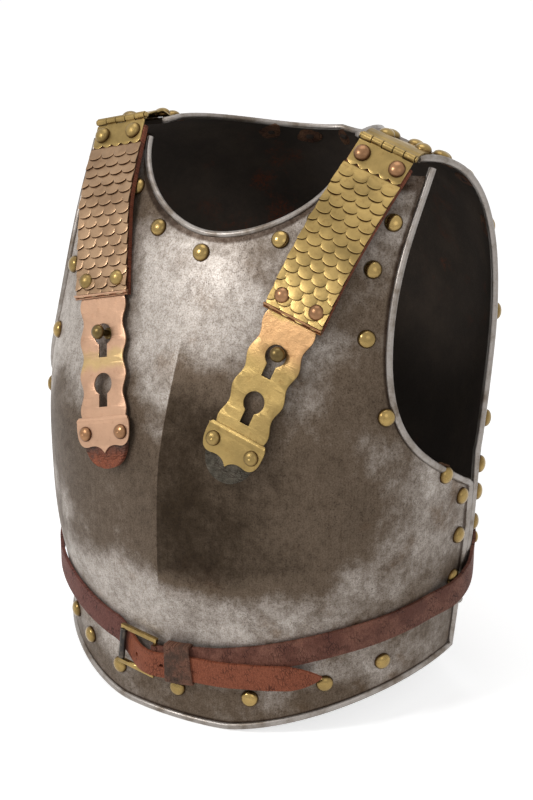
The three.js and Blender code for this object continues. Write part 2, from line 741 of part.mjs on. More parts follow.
// All the rows, from the leaf down to the folded bar that ends them
function scales(line) {
  const first = leafLength + seatGap;
  const pitch = (barReach - barDepth / 2 - first) / scaleRows;
  const length = pitch + scaleOverlap;
  const rise = Math.asin(scaleRise / pitch);
  const rows = [];
  for (let row = 0; row < scaleRows; row += 1) {
    const end = Math.min(length, barReach - first - row * pitch);
    const outline = scaleOutline(end, row % 2 / 2);
    const plateRow = extruded(outline, scaleThickness, false).rotateX(rise);
    const along = (first + row * pitch) / line.getLength();
    const tangent = line.getTangentAt(along);
    const place = strapPlace(line, first + row * pitch, scaleLow);
    const down = new THREE.Vector3(tangent.x, tangent.y, 0);
    const across = new THREE.Vector3(0, 0, 1);
    rows.push(plateRow.applyMatrix4(
      frameAt(new THREE.Vector3(place.x, place.y, 0), across, down, across.clone().cross(down)),
    ));
  }
  const bar = strapPrism(line, barReach, box(scaleWidth + barDepth / 2, -barDepth, 0), scaleLow,
    scaleLow + barHeight);
  const holes = [-1, 1].map((side) => strapPrism(line, scaleRivetReach,
    disc(strapRivetRadius + seatGap, side * strapRivetSpacing / 2), scaleLow - seatGap, scaleLow + cutReach));
  return cut(joined([...rows, bar]), holes);
}

// A domed rivet head on a strap
function strapRivet(line, reach, aside, low, radius, rise) {
  const along = clamp(reach / line.getLength(), 0, 1);
  const tangent = line.getTangentAt(along);
  const place = strapPlace(line, reach, low);
  const outward = new THREE.Vector3(-tangent.y, tangent.x, 0);
  const across = new THREE.Vector3(0, 0, 1);
  const origin = new THREE.Vector3(place.x, place.y, aside);
  return dome(radius, rise, 0).applyMatrix4(frameAt(origin, across, outward.clone().cross(across), outward));
}

// Knuckles along the pin, those of one leaf being every other one
function knuckles(first, grow) {
  const length = (strapWidth - (knuckleCount - 1) * knuckleGap) / knuckleCount;
  const list = [];
  for (let index = first; index < knuckleCount; index += 2) {
    const middle = -strapWidth / 2 + length / 2 + index * (length + knuckleGap);
    list.push(new THREE.CylinderGeometry(knuckleRadius + grow, knuckleRadius + grow,
      length + 2 * Math.min(grow, knuckleGap), roundSides).rotateX(rightAngle).translate(0, 0, middle));
  }
  return list;
}

function hingeBore() {
  return new THREE.CylinderGeometry(pinRadius + pinClearance, pinRadius + pinClearance,
    strapWidth + cutReach, roundSides).rotateX(rightAngle);
}

function hingedLeaf(leaf, firstKnuckle) {
  const cleared = cut(leaf, knuckles(1 - firstKnuckle, knuckleGap));
  return cut(joined([cleared, ...knuckles(firstKnuckle, 0)]), [hingeBore()]);
}

// The backplate's rise at a place on its shoulder in plan
function shoulderRise(x, y) {
  const angle = angleAt(x, springHeight, backPowerShares);
  let low = springHeight;
  let high = backTopRise;
  for (let halving = 0; halving < 30; halving += 1) {
    const middle = (low + high) / 2;
    if (backPoint(angle, middle).y > y) low = middle;
    else high = middle;
  }
  return low;
}

// The fixed leaf's underside behind the pin, seated on the backplate's shoulder
function seatHeights(axes, behinds) {
  return behinds.map((behind) => {
    const y = axes.origin.y + behind;
    const heights = [-1, -0.5, 0, 0.5, 1].map((part) => {
      const aside = part * strapWidth / 2;
      let up = 0;
      for (let round = 0; round < 4; round += 1) {
        const x = axes.origin.x + up * axes.up.x + aside * axes.across.x;
        const top = backPoint(angleAt(x, springHeight, backPowerShares), shoulderRise(x, y));
        const onRim = Math.abs(x) > armHalfWidth - armWaist - rimWidth;
        if (onRim) top.z += rimRise;
        up = (top.z - axes.origin.z - aside * axes.across.z) / axes.up.z;
      }
      return up;
    });
    return new THREE.Vector2(-behind, Math.max(...heights) + seatGap);
  });
}

function fixedLeaf(seat) {
  const under = [new THREE.Vector2(0, -leafThickness / 2), ...seat];
  const over = under.map((point) => new THREE.Vector2(point.x, point.y + leafThickness)).reverse();
  return hingedLeaf(extruded(new THREE.Shape([...under, ...over]), strapWidth), 0);
}

// A button on the breastplate, standing through the middle of the upper keyhole's round
function stud(line, axes) {
  const place = line.getPointAt(keyholeReach / line.getLength());
  const hole = axes.origin.clone().addScaledVector(axes.ahead, place.x).addScaledVector(axes.up, place.y);
  const angle = angleAt(hole.x, hole.z, frontPowerShares);
  const foot = chestPoint(angle, hole.z);
  const headLow = hole.distanceTo(foot) + leatherThickness + studHeadLift;
  const footHigh = seatGap + studFootThickness;
  const profile = [
    new THREE.Vector2(0, seatGap),
    new THREE.Vector2(studFootRadius, seatGap),
    new THREE.Vector2(studFootRadius, footHigh),
    new THREE.Vector2(studNeckRadius, footHigh),
    new THREE.Vector2(studNeckRadius, headLow),
    new THREE.Vector2(studHeadRadius * 0.8, headLow + studHeadRadius * 0.2),
    new THREE.Vector2(studHeadRadius, headLow + studHeadRadius * 0.6),
    new THREE.Vector2(studHeadRadius * 0.72, headLow + studHeadRadius * 1.15),
    new THREE.Vector2(0, headLow + studHeadRadius * 1.35),
  ];
  return new THREE.LatheGeometry(profile, roundSides).rotateX(rightAngle)
    .applyMatrix4(frameAlong(foot, outwardAt(chestPoint, angle, hole.z, 1)));
}

// The belt's centre height, by its share of the way from the middle of the front to an end
function beltHeightAt(share) {
  return lerp(beltFrontHeight, beltEndHeight, reading(beltRiseShares, Math.min(share, 1)));
}

// How far the belt has to stand out from a plate, over the side rims and the side rivets
function beltLift(turn, z) {
  const pastSide = (Math.abs(turn) - rightAngle) * chestDepth;
  const pastRivet = pastSide + flankRivetInset;
  let lift = Math.abs(pastSide) < rimWidth * 2.4 ? rimRise * 1.15 : 0;
  for (const share of sideRivetShares) {
    const apart = Math.hypot(pastRivet, z - armpitHeight * share);
    if (apart < rivetRadius * 1.3) lift = Math.max(lift, rivetRise * 1.1);
  }
  return lift + beltSpan;
}

function cross(a, b, c) {
  return (b.x - a.x) * (c.y - a.y) - (b.y - a.y) * (c.x - a.x);
}

function halfHull(points) {
  const chain = [];
  for (const point of points) {
    while (chain.length > 1 && cross(chain.at(-2), chain.at(-1), point) <= 0) chain.pop();
    chain.push(point);
  }
  return chain;
}

// The line of the belt: pulled taut round both plates, from the wearer's right to the left
function beltLine() {
  const z = beltEndHeight;
  const depth = backPoint(0, z).y - seatGap;
  const power = 2 / reading(backPowerShares, z / plateHeight);
  const end = 2 * rightAngle - Math.acos(((beltEndReach - seatGap) / depth) ** (1 / power));
  const points = [];
  for (let i = -beltSamples; i <= beltSamples; i += 1) {
    const turn = i / beltSamples * end;
    const height = beltHeightAt(Math.abs(i / beltSamples));
    for (const part of [-0.6, 0, 0.6]) {
      const level = height + part * beltWidth;
      const behind = Math.sign(turn) * (2 * rightAngle - Math.abs(turn));
      const onChest = Math.abs(turn) <= rightAngle;
      const place = onChest ? chestPoint(turn, level) : backPoint(behind, level);
      const radial = new THREE.Vector3(place.x, place.y, 0).normalize();
      place.addScaledVector(radial, beltLift(turn, level)).setZ(height);
      points.push(place);
    }
  }
  points.sort((a, b) => a.x - b.x || a.y - b.y);
  const front = halfHull(points);
  const back = halfHull([...points].reverse());
  const around = [...front.slice(0, -1), ...back.slice(0, -1)];
  let widest = 0;
  around.forEach((point, index) => {
    const next = around[(index + 1) % around.length];
    const gap = point.distanceTo(next);
    const gapSoFar = around[widest].distanceTo(around[(widest + 1) % around.length]);
    if (gap > gapSoFar) widest = index;
  });
  const line = [...around.slice(widest + 1), ...around.slice(0, widest + 1)];
  const path = new THREE.CurvePath();
  for (let i = 1; i < line.length; i += 1) path.add(new THREE.LineCurve3(line[i - 1], line[i]));
  return new THREE.CatmullRomCurve3(path.getSpacedPoints(beltBends));
}

const belt = beltLine();
const beltEnd = belt.getLength() / 2;

// The belt's directions at a distance along it from the middle of the front
function beltAxes(along) {
  const share = clamp(along / beltEnd / 2 + 0.5, 0, 1);
  const tangent = belt.getTangentAt(share);
  const outward = tangent.clone().cross(new THREE.Vector3(0, 0, 1)).normalize();
  return { origin: belt.getPointAt(share), tangent, outward, down: tangent.clone().cross(outward) };
}

// Bends a flat piece onto the belt: x runs along it, y outward and z down
function bent(geometry) {
  const places = geometry.attributes.position;
  for (let i = 0; i < places.count; i += 1) {
    const { origin, outward, down } = beltAxes(places.getX(i));
    origin.addScaledVector(outward, places.getY(i)).addScaledVector(down, places.getZ(i));
    places.setXYZ(i, origin.x, origin.y, origin.z);
  }
  return geometry;
}

// How far the two straps hang below the belt's line where they overlap
function tipHang(along) {
  return beltTipDrop * reading(tipHangShares, along / beltTipAcross);
}

function buckleStrapHang(along) {
  return beltTipDrop * reading(buckleHangShares, along / beltTipAcross);
}

function hung(geometry, hang) {
  const places = geometry.attributes.position;
  for (let i = 0; i < places.count; i += 1) places.setZ(i, places.getZ(i) + hang(places.getX(i)));
  return geometry;
}

// A strap on the belt's line, from its underside's distances along and heights
function strapOnBelt(line, hang = () => 0) {
  const stations = [line[0]];
  for (let index = 1; index < line.length; index += 1) {
    const [before, lowBefore] = line[index - 1];
    const [along, low] = line[index];
    const count = Math.ceil((along - before) / beltStep);
    for (let i = 1; i <= count; i += 1) {
      stations.push([lerp(before, along, i / count), lerp(lowBefore, low, i / count)]);
    }
  }
  const sheet = (rise) => [1, -1].map((side) => stations.map(([along, low]) => {
    const { origin, outward, down } = beltAxes(along);
    return origin.addScaledVector(outward, low + rise)
      .addScaledVector(down, side * beltWidth / 2 + hang(along));
  }));
  return shell(sheet(beltThickness), sheet(0));
}

function bar(radius, length, along, high) {
  const rod = new THREE.CylinderGeometry(radius, radius, length, roundSides);
  return rod.rotateX(rightAngle).translate(along, high, 0);
}

const loopRadius = hingeBarRadius + seatGap + loopThickness;
const keeperLift = keeperThickness + keeperRest; // of the belt above its line, over the keeper's back
const overLoop = 2 * loopRadius + seatGap;
const overBelt = keeperLift + beltThickness + seatGap;
const rollerHigh = beltThickness + seatGap + rollerRadius;

// The strap that carries the buckle, from its loop to its rivet on the wearer's left
function buckleStrap() {
  const line = [
    [hingeBarAcross, keeperLift],
    [keeperAcross + keeperWidth + beltRamp / 2, keeperLift],
    [keeperAcross + keeperWidth + 2 * beltRamp, 0],
    [beltEnd, 0],
  ];
  const loop = bar(loopRadius, beltWidth, hingeBarAcross, loopRadius);
  const bore = bar(hingeBarRadius + seatGap, 3 * beltWidth, hingeBarAcross, loopRadius);
  return cut(joined([strapOnBelt(line, buckleStrapHang), bent(hung(loop, buckleStrapHang))]), [bent(bore)]);
}

// The strap that is buckled, from its rivet on the wearer's right to its pointed end
function tipStrap() {
  const line = [
    [-beltEnd, 0],
    [rollerAcross + rollerRadius / 2, 0],
    [hingeBarAcross - loopRadius, overLoop - seatGap],
    [hingeBarAcross, overLoop],
    [keeperAcross - keeperWidth / 2 - keeperPlay, overBelt],
    [keeperAcross + keeperWidth + beltRamp / 2, overBelt],
    [keeperAcross + keeperWidth + 2 * beltRamp, beltThickness + 2 * seatGap],
    [beltTipAcross, beltThickness + 2 * seatGap],
  ];
  const half = beltWidth / 2 + seatGap;
  const corners = [-1, 1].map((side) => {
    const outline = new THREE.Shape();
    outline.moveTo(beltTipAcross - beltTipPoint, side * half);
    outline.quadraticCurveTo(beltTipAcross - beltTipPoint / 3, side * half * 0.7, beltTipAcross, 0);
    outline.lineTo(beltTipAcross + beltRamp, 0);
    outline.lineTo(beltTipAcross + beltRamp, side * beltWidth);
    outline.lineTo(beltTipAcross - beltTipPoint, side * beltWidth);
    return bent(hung(extruded(outline, 4 * cutReach).rotateX(rightAngle), tipHang));
  });
  const punch = new THREE.CylinderGeometry(beltHoleRadius, beltHoleRadius, 4 * cutReach, rivetSides);
  const holes = beltHoleAcross.map((along) => bent(hung(punch.clone().translate(along, 0, 0), tipHang)));
  return cut(strapOnBelt(line, tipHang), [...corners, ...holes]);
}

function buckleFrame() {
  const half = buckleRod / 2;
  const rod = new THREE.Shape([
    new THREE.Vector2(rollerAcross - half, rollerHigh - half),
    new THREE.Vector2(hingeBarAcross + half, loopRadius - half),
    new THREE.Vector2(hingeBarAcross + half, loopRadius + half),
    new THREE.Vector2(rollerAcross - half, rollerHigh + half),
  ]);
  const rods = [-1, 1].map((side) => extruded(rod, buckleRod).translate(0, 0, side * buckleSide));
  const length = 2 * buckleSide;
  const hingeBar = bar(hingeBarRadius, length, hingeBarAcross, loopRadius);
  const rollerBar = bar(rollerBarRadius, length, rollerAcross, rollerHigh);
  return bent(joined([...rods, hingeBar, rollerBar]).translate(0, 0, buckleHang));
}

function buckleRoller() {
  const length = 2 * buckleSide - buckleRod - 2 * rollerEndGap;
  const bore = bar(rollerBarRadius + rollerClearance, length + cutReach, rollerAcross, rollerHigh);
  return bent(cut(bar(rollerRadius, length, rollerAcross, rollerHigh), [bore]).translate(0, 0, buckleHang));
}

function keeperLoop() {
  const top = -beltWidth / 2 - keeperPlay + buckleStrapHang(keeperAcross + keeperWidth / 2);
  const foot = beltWidth / 2 + keeperPlay + tipHang(keeperAcross - keeperWidth / 2);
  const high = overBelt + beltThickness + keeperPlay;
  const round = (grow) => {
    const outline = new THREE.Shape();
    outline.moveTo(top - grow, keeperThickness - grow);
    outline.lineTo(foot + grow, keeperThickness - grow);
    outline.lineTo(foot + grow, high + grow);
    outline.lineTo(top - grow, high + grow);
    return outline;
  };
  const ring = extruded(round(keeperThickness), keeperWidth);
  const opening = extruded(round(0), keeperWidth + cutReach);
  return bent(cut(ring, [opening]).rotateY(-rightAngle).translate(keeperAcross, 0, 0));
}

function beltRivet(side) {
  const { origin, outward } = beltAxes(side * (beltEnd - beltRivetInset));
  origin.addScaledVector(outward, beltThickness + seatGap);
  return dome(beltRivetRadius, beltRivetRise, 0).applyMatrix4(frameAlong(origin, outward));
}

// Assembly
const cuirass = new THREE.Group();
const steel = { color: 0x8d8983, roughness: 0.42, metalness: 0.9 };
const brass = { color: 0xb08d3e, roughness: 0.38, metalness: 0.9 };
const redBrass = { color: 0xb9835c, roughness: 0.42, metalness: 0.85 };
const copper = { color: 0xa86f45, roughness: 0.4, metalness: 0.85 };
const redLeather = { color: 0x7d3a24, roughness: 0.75, metalness: 0 };
const darkLeather = { color: 0x4a3a2e, roughness: 0.85, metalness: 0 };

function piece(name, geometry, material, parent = cuirass) {
  const mesh = new THREE.Mesh(geometry, new THREE.MeshStandardMaterial(material));
  mesh.name = name;
  parent.add(mesh);
  return mesh;
}

const rims = { foot: rimWidth, top: neckRimWidth, side: rimWidth, topReach: neckEdgeShare };
piece('breastplate', rivetedPlate(plate(chestPoint, chestBorders, 1, rims), chestRivets()), steel);
piece('backplate', rivetedPlate(plate(backPoint, backBorders, -1, rims), backRivets()), steel);

function shoulderStrap(hinge, label, plateMaterial) {
  const axes = hingeAxes(hinge);
  const line = strapLine(axes);
  const group = new THREE.Group();
  group.applyMatrix4(frameAt(axes.origin, axes.ahead, axes.up, axes.across));
  cuirass.add(group);
  const add = (name, geometry, material) => piece(`${name}_${label}`, geometry, material, group);

  const tuckStart = barReach - endPlateTuck;
  const capSeat = capReach + capLength * 0.3;
  add('strap_leather', strapBand(line, scaleWidth - 2 * seatGap, 0, [
    [leafRivetReach * 0.6, tuckStart - seatGap, leatherThickness],
    [tuckStart - seatGap, barReach, tipLeatherThickness],
  ]), redLeather);
  const endPlate = strapBand(line, endPlateWidth, tipLeatherThickness + seatGap, [
    [tuckStart, capSeat, leatherThickness],
  ]);
  const middle = (tuckStart + capSeat) / 2;
  const halfPlate = (capSeat - tuckStart) / 2 + seatGap;
  const waved = strapPrism(line, middle, endPlateOutline(2 * halfPlate), -cutReach, 2 * cutReach);
  const back = line.getTangentAt(middle / line.getLength()).multiplyScalar(-halfPlate);
  waved.translate(back.x, back.y, 0);
  const holes = [0, keyholeSpacing].map((down) => strapPrism(line, keyholeReach + down, keyholeOutline()));
  add('keyhole_plate', cut(within(endPlate, waved), holes), plateMaterial);
  const tipStart = capReach - capLength * 0.25;
  add('strap_tip', within(
    strapBand(line, strapWidth, 0, [
      [tipStart, capSeat + seatGap, tipLeatherThickness],
      [capSeat + seatGap, tipReach, leatherThickness],
    ]),
    strapPrism(line, tipStart, tipOutline(tipReach - tipStart)),
  ), hinge.side > 0 ? darkLeather : redLeather);
  const capBand = strapBand(line, capWidth + cutReach, scaleLow, [
    [capReach - seatGap, capReach + capLength + seatGap, scaleLow + capThickness],
  ]);
  add('end_cap', within(capBand, strapPrism(line, capReach, capOutline())), plateMaterial);
  add('scales', scales(line), brass);
  add('strap_leaf', hingedLeaf(strapBand(line, strapWidth, scaleLow, [[0, leafLength, leafHigh]]), 1), brass);

  const strapRivets = (name, reach, spacing, low, radius, rise, material) => {
    ['inner', 'outer'].forEach((where, index) => {
      const aside = (index - 0.5) * spacing * -hinge.side;
      piece(`${name}_${label}_${where}`, strapRivet(line, reach, aside, low, radius, rise), material, group);
    });
  };
  const capTop = scaleLow + capThickness + seatGap;
  strapRivets('leaf_rivet', leafRivetReach, strapRivetSpacing, leafHigh + seatGap,
    strapRivetRadius, strapRivetRise, copper);
  strapRivets('scale_rivet', scaleRivetReach, strapRivetSpacing, scaleLow,
    strapRivetRadius, scaleRivetRise, copper);
  strapRivets('cap_rivet', capRivetReach, capRivetSpacing, capTop,
    capRivetRadius, capRivetRise, plateMaterial);

  const behinds = [0.25, 0.5, 0.75, 1].map((share) => hinge.ahead + share * fixedLeafLength);
  const seat = seatHeights(axes, [hinge.ahead - seatGap, ...behinds]);
  add('shoulder_leaf', fixedLeaf(seat), brass);
  const rest = seat[seat.length - 2];
  const slope = seat[seat.length - 3].clone().sub(seat[seat.length - 1]).normalize();
  const upward = new THREE.Vector3(-slope.y, slope.x, 0);
  const alongPin = new THREE.Vector3(0, 0, 1);
  ['inner', 'outer'].forEach((where, index) => {
    const aside = (index - 0.5) * (strapWidth - 2 * fixedRivetInset) * -hinge.side;
    const foot = new THREE.Vector3(rest.x, rest.y + leafThickness, aside).addScaledVector(upward, seatGap);
    const frame = frameAt(foot, alongPin, upward.clone().cross(alongPin), upward);
    const rivet = dome(strapRivetRadius, strapRivetRise, 0).applyMatrix4(frame);
    piece(`shoulder_rivet_${label}_${where}`, rivet, brass, group);
  });
  const pin = new THREE.CylinderGeometry(pinRadius, pinRadius, strapWidth + 2 * pinOverhang, roundSides);
  const head = new THREE.CylinderGeometry(pinHeadRadius, pinHeadRadius, pinHeadThickness, roundSides);
  const heads = [-1, 1].map((end) => head.clone().translate(0, end * (strapWidth / 2 + pinOverhang), 0));
  add('hinge_pin', joined([pin, ...heads]).rotateX(rightAngle), brass);
  piece(`stud_${label}`, stud(line, axes), brass);
}

shoulderStrap(leftHinge, 'left', brass);
shoulderStrap(rightHinge, 'right', redBrass);

piece('belt_strap_left', buckleStrap(), redLeather);
piece('belt_strap_right', tipStrap(), redLeather);
piece('buckle_frame', buckleFrame(), brass);
piece('buckle_roller', buckleRoller(), steel);
piece('keeper', keeperLoop(), darkLeather);
piece('belt_rivet_left', beltRivet(1), brass);
piece('belt_rivet_right', beltRivet(-1), brass);

// Centred over its footprint
const bounds = new THREE.Box3().setFromObject(cuirass);
cuirass.position.y = -(bounds.min.y + bounds.max.y) / 2;

export default new THREE.Group().add(cuirass);
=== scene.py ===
"""Dresses a cuirass: riveted steel plates, scaled shoulder straps with keyhole ends, and a buckled belt.

Metres, +Z up. The wearer faces -Y, so the wearer's left side is +X.
"""

import bisect
import json
import math

import bmesh
import bpy
from bpy.props import FloatProperty, FloatVectorProperty, IntProperty, PointerProperty
from mathutils import Matrix, Vector, noise


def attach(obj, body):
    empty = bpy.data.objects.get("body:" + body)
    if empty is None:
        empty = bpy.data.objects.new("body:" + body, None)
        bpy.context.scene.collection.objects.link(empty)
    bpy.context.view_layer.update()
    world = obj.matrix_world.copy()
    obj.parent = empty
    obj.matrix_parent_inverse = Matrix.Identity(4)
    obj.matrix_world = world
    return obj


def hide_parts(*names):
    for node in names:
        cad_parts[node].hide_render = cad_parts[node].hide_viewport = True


bl_info = {
    "name": "Cuirass",
    "version": (1, 0, 0),
    "blender": (4, 5, 0),
    "location": "3D View > Sidebar > Cuirass",
    "description": "Builds the plates, straps, belt and finishes of a cuirass round its frame",
    "category": "Object",
}

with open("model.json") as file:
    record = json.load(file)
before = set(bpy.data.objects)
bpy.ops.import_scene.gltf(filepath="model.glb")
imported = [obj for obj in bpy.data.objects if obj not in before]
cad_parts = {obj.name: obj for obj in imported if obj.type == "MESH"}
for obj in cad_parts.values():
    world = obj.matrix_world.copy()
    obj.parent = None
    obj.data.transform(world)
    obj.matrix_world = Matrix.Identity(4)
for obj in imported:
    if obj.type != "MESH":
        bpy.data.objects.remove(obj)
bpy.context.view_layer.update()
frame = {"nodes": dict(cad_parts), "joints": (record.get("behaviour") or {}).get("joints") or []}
FINISH_PREFIX = "finish_"
RIGHT_ANGLE = math.pi / 2

# Corners nearer than this are one, on small pieces and on the plates' grids
MERGE_DISTANCE = 1e-6
FINE_MERGE_DISTANCE = 1e-7
CUT_DISTANCE = 1e-5
ROUNDING = 1e-9

# Height share, then share of the size named
HALF_WIDTH_SHARES = [(0, 0.898), (0.17, 0.943), (0.32, 0.983), (0.48, 1), (1.1, 1)]
CHEST_DEPTH_SHARES = [(0, 0.921), (0.14, 0.912), (0.27, 0.993), (0.39, 1), (0.52, 0.972),
                      (0.7, 0.797), (0.86, 0.601), (1, 0.312), (1.1, 0.12)]
BACK_DEPTH_SHARES = [(0, 0.76), (0.13, 0.64), (0.3, 0.76), (0.5, 0.92), (0.68, 1), (1.1, 1)]
SIDE_SET_SHARES = [(0, 0), (0.45, 0), (0.68, 0.032), (1, 0.099), (1.1, 0.11)]
RIDGE_SHARES = [(0, 0), (0.12, 0.1), (0.22, 1), (0.6, 1), (0.86, 0.15), (1, 0), (1.1, 0)]
FRONT_POWER_SHARES = [(0, 2.2), (0.68, 2.2), (1, 1.88), (1.1, 1.85)]
BACK_POWER_SHARES = [(0, 1.6), (0.35, 1.6), (0.68, 2), (1.1, 2)]
LEFT_ARM_RIVET_SHARES = [(0.075, 0.1), (0.314, 0.45), (0.545, 1.05), (0.735, 1.3), (0.857, 1.05)]
RIGHT_ARM_RIVET_SHARES = [(-0.03, 0.2), (0.133, 0.5), (0.367, 0.7), (0.581, 1), (0.773, 1)]
SHOULDER_RIVET_SHARES = [0.66, 0.8, 0.94]
SIDE_RIVET_SHARES = [0.574, 0.778, 0.96]
NECK_RIVET_SHARES = [-0.66, -0.35, 0, 0.46, 0.66]
LOWER_RIVET_SHARES = [-0.9, -0.72, -0.56, -0.32, 0.04, 0.41, 0.72, 0.91]
BELT_RISE_SHARES = [(0, 0), (0.16, 0.09), (0.4, 0.31), (0.6, 0.42), (0.76, 0.49), (0.85, 0.62), (1, 1)]
TIP_HANG_SHARES = [(-9, 0), (-0.5, 0), (-0.41, 0), (-0.28, 0.36), (-0.205, 0.47), (-0.08, 0.45),
                   (0.1, 0.36), (0.46, 0.52), (0.79, 0.8), (1, 1), (1.3, 1.2)]
BUCKLE_HANG_SHARES = [(-0.2, 0.43), (-0.09, 0.295), (0.1, 0.07), (0.29, 0), (9, 0)]

# Patches of patina on the breastplate, with painted shade and painted reflection in them (the dark belly band is
# partly a painted reflection, the light left flank a painted reflection, the streak on the wearer's right of the
# ridge partly a painted shadow of a strap), laid one over the other, as shares of half its width and of its height:
# middle across, middle up, half width, half height, and how brown or dark from 0 to 1
PATINA_AND_PAINTED_LIGHT = [
    (0.3, 0.43, 0.95, 0.19, 0.66), (-0.5, 0.42, 0.6, 0.17, 0.6), (0.98, 0.72, 0.46, 0.3, 0.62),
    (1.05, 0.45, 0.18, 0.22, 0.3), (-1.02, 0.72, 0.26, 0.26, 0.08), (-0.34, 0.76, 0.11, 0.17, 0.42),
    (-0.27, 0.9, 0.22, 0.07, 0.52), (0.3, 0.88, 0.3, 0.06, 0.36), (-0.9, 0.3, 0.3, 0.12, 0.55),
    (0.1, 0.2, 1.2, 0.105, 0.2), (0.95, 0.22, 0.4, 0.12, 0.46), (0, 0.03, 2, 0.085, 0.5),
]
BARE_SHADE = 0.2
BACK_SHADE = 0.5


def length(name, default, description):
    return FloatProperty(name=name, description=description, default=default, unit="LENGTH", precision=5)


def colour(name, default, description):
    return FloatVectorProperty(name=name, description=description, default=default, subtype="COLOR",
                               size=3, min=0, max=1)


class PlateSizes(bpy.types.PropertyGroup):
    """Sizes of the breastplate and the backplate"""

    height: length("Height", 0.438, "Of the breastplate, from its foot to the shoulder tips")
    half_width: length("Half width", 0.181, "At the arm openings")
    chest_depth: length("Chest depth", 0.176, "From the side edges to the ridge")
    back_depth: length("Back depth", 0.132, "From the side edges to the shoulder blades")
    thickness: length("Thickness", 0.003, "Of both plates")
    seat_gap: length("Seat gap", 0.0003, "Between pieces that rest on each other")
    ridge_rise: length("Ridge rise", 0.005, "Of the medial ridge above the chest")
    ridge_spread: length("Ridge spread", 0.08, "Half the width over which the ridge dies out")
    neck_height: length("Neck height", 0.387, "Lowest point of the front neck edge")
    neck_half_width: length("Neck half width", 0.085, "At the shoulder tips")
    arm_half_width: length("Arm half width", 0.15, "From the middle to the arm edge at the tips")
    armpit_height: length("Armpit height", 0.187, "Of the breastplate")
    right_tip_drop: length("Right tip drop", 0.02, "Of the wearer's right shoulder edge")
    arm_waist: length("Arm waist", 0.016, "How far the arm edge swings inward")
    corner_rise: length("Corner rise", 0.035, "Of the lower rim at the side edges")
    stand_half_width: length("Stand half width", 0.046, "Of the flat stretch that the plate stands on")
    back_armpit_height: length("Back armpit height", 0.2, "Of the backplate")
    back_corner_rise: length("Back corner rise", 0.074, "Of the backplate's lower rim at its sides")
    spring_height: length("Spring height", 0.3, "Where the back starts to curve over the shoulders")
    back_top_height: length("Back top height", 0.456, "Of the backplate's shoulders beside the neck")
    shoulder_drop: length("Shoulder drop", 0.013, "Of the shoulders out to the arm edge")
    right_sag: length("Right sag", 0.014, "How much lower the wearer's right shoulder sits")
    shoulder_overhang: length("Shoulder overhang", 0.028, "Of the shoulders forward of the side edges")
    rim_radius: length("Rim radius", 0.0029, "Of the rolled rim at the sides and the foot")
    neck_rim_radius: length("Neck rim radius", 0.0025, "Of the rolled rim at the neck")
    rivet_radius: length("Rivet radius", 0.007, "Of the domed edge rivets")
    rivet_rise: length("Rivet rise", 0.005, "Of the domed edge rivets")
    rivet_inset: length("Rivet inset", 0.015, "From an edge to a rivet's centre")
    lower_rivet_inset: length("Lower rivet inset", 0.027, "On the waist flange")
    flank_rivet_inset: length("Flank rivet inset", 0.016, "At the side edges")
    shoulder_rivet_reach: length("Shoulder rivet reach", 0.031, "Behind the shoulders' front edge")
    clinch_radius: length("Clinch radius", 0.0042, "Of a rivet's clinched end inside a plate")
    scrap_radius: length("Scrap radius", 0.0095, "Of the torn leather under the clinched ends")
    columns: IntProperty(name="Columns", description="Cells over a plate's half width", default=64, min=8)
    rows: IntProperty(name="Rows", description="Cells over a plate's height", default=110, min=8)


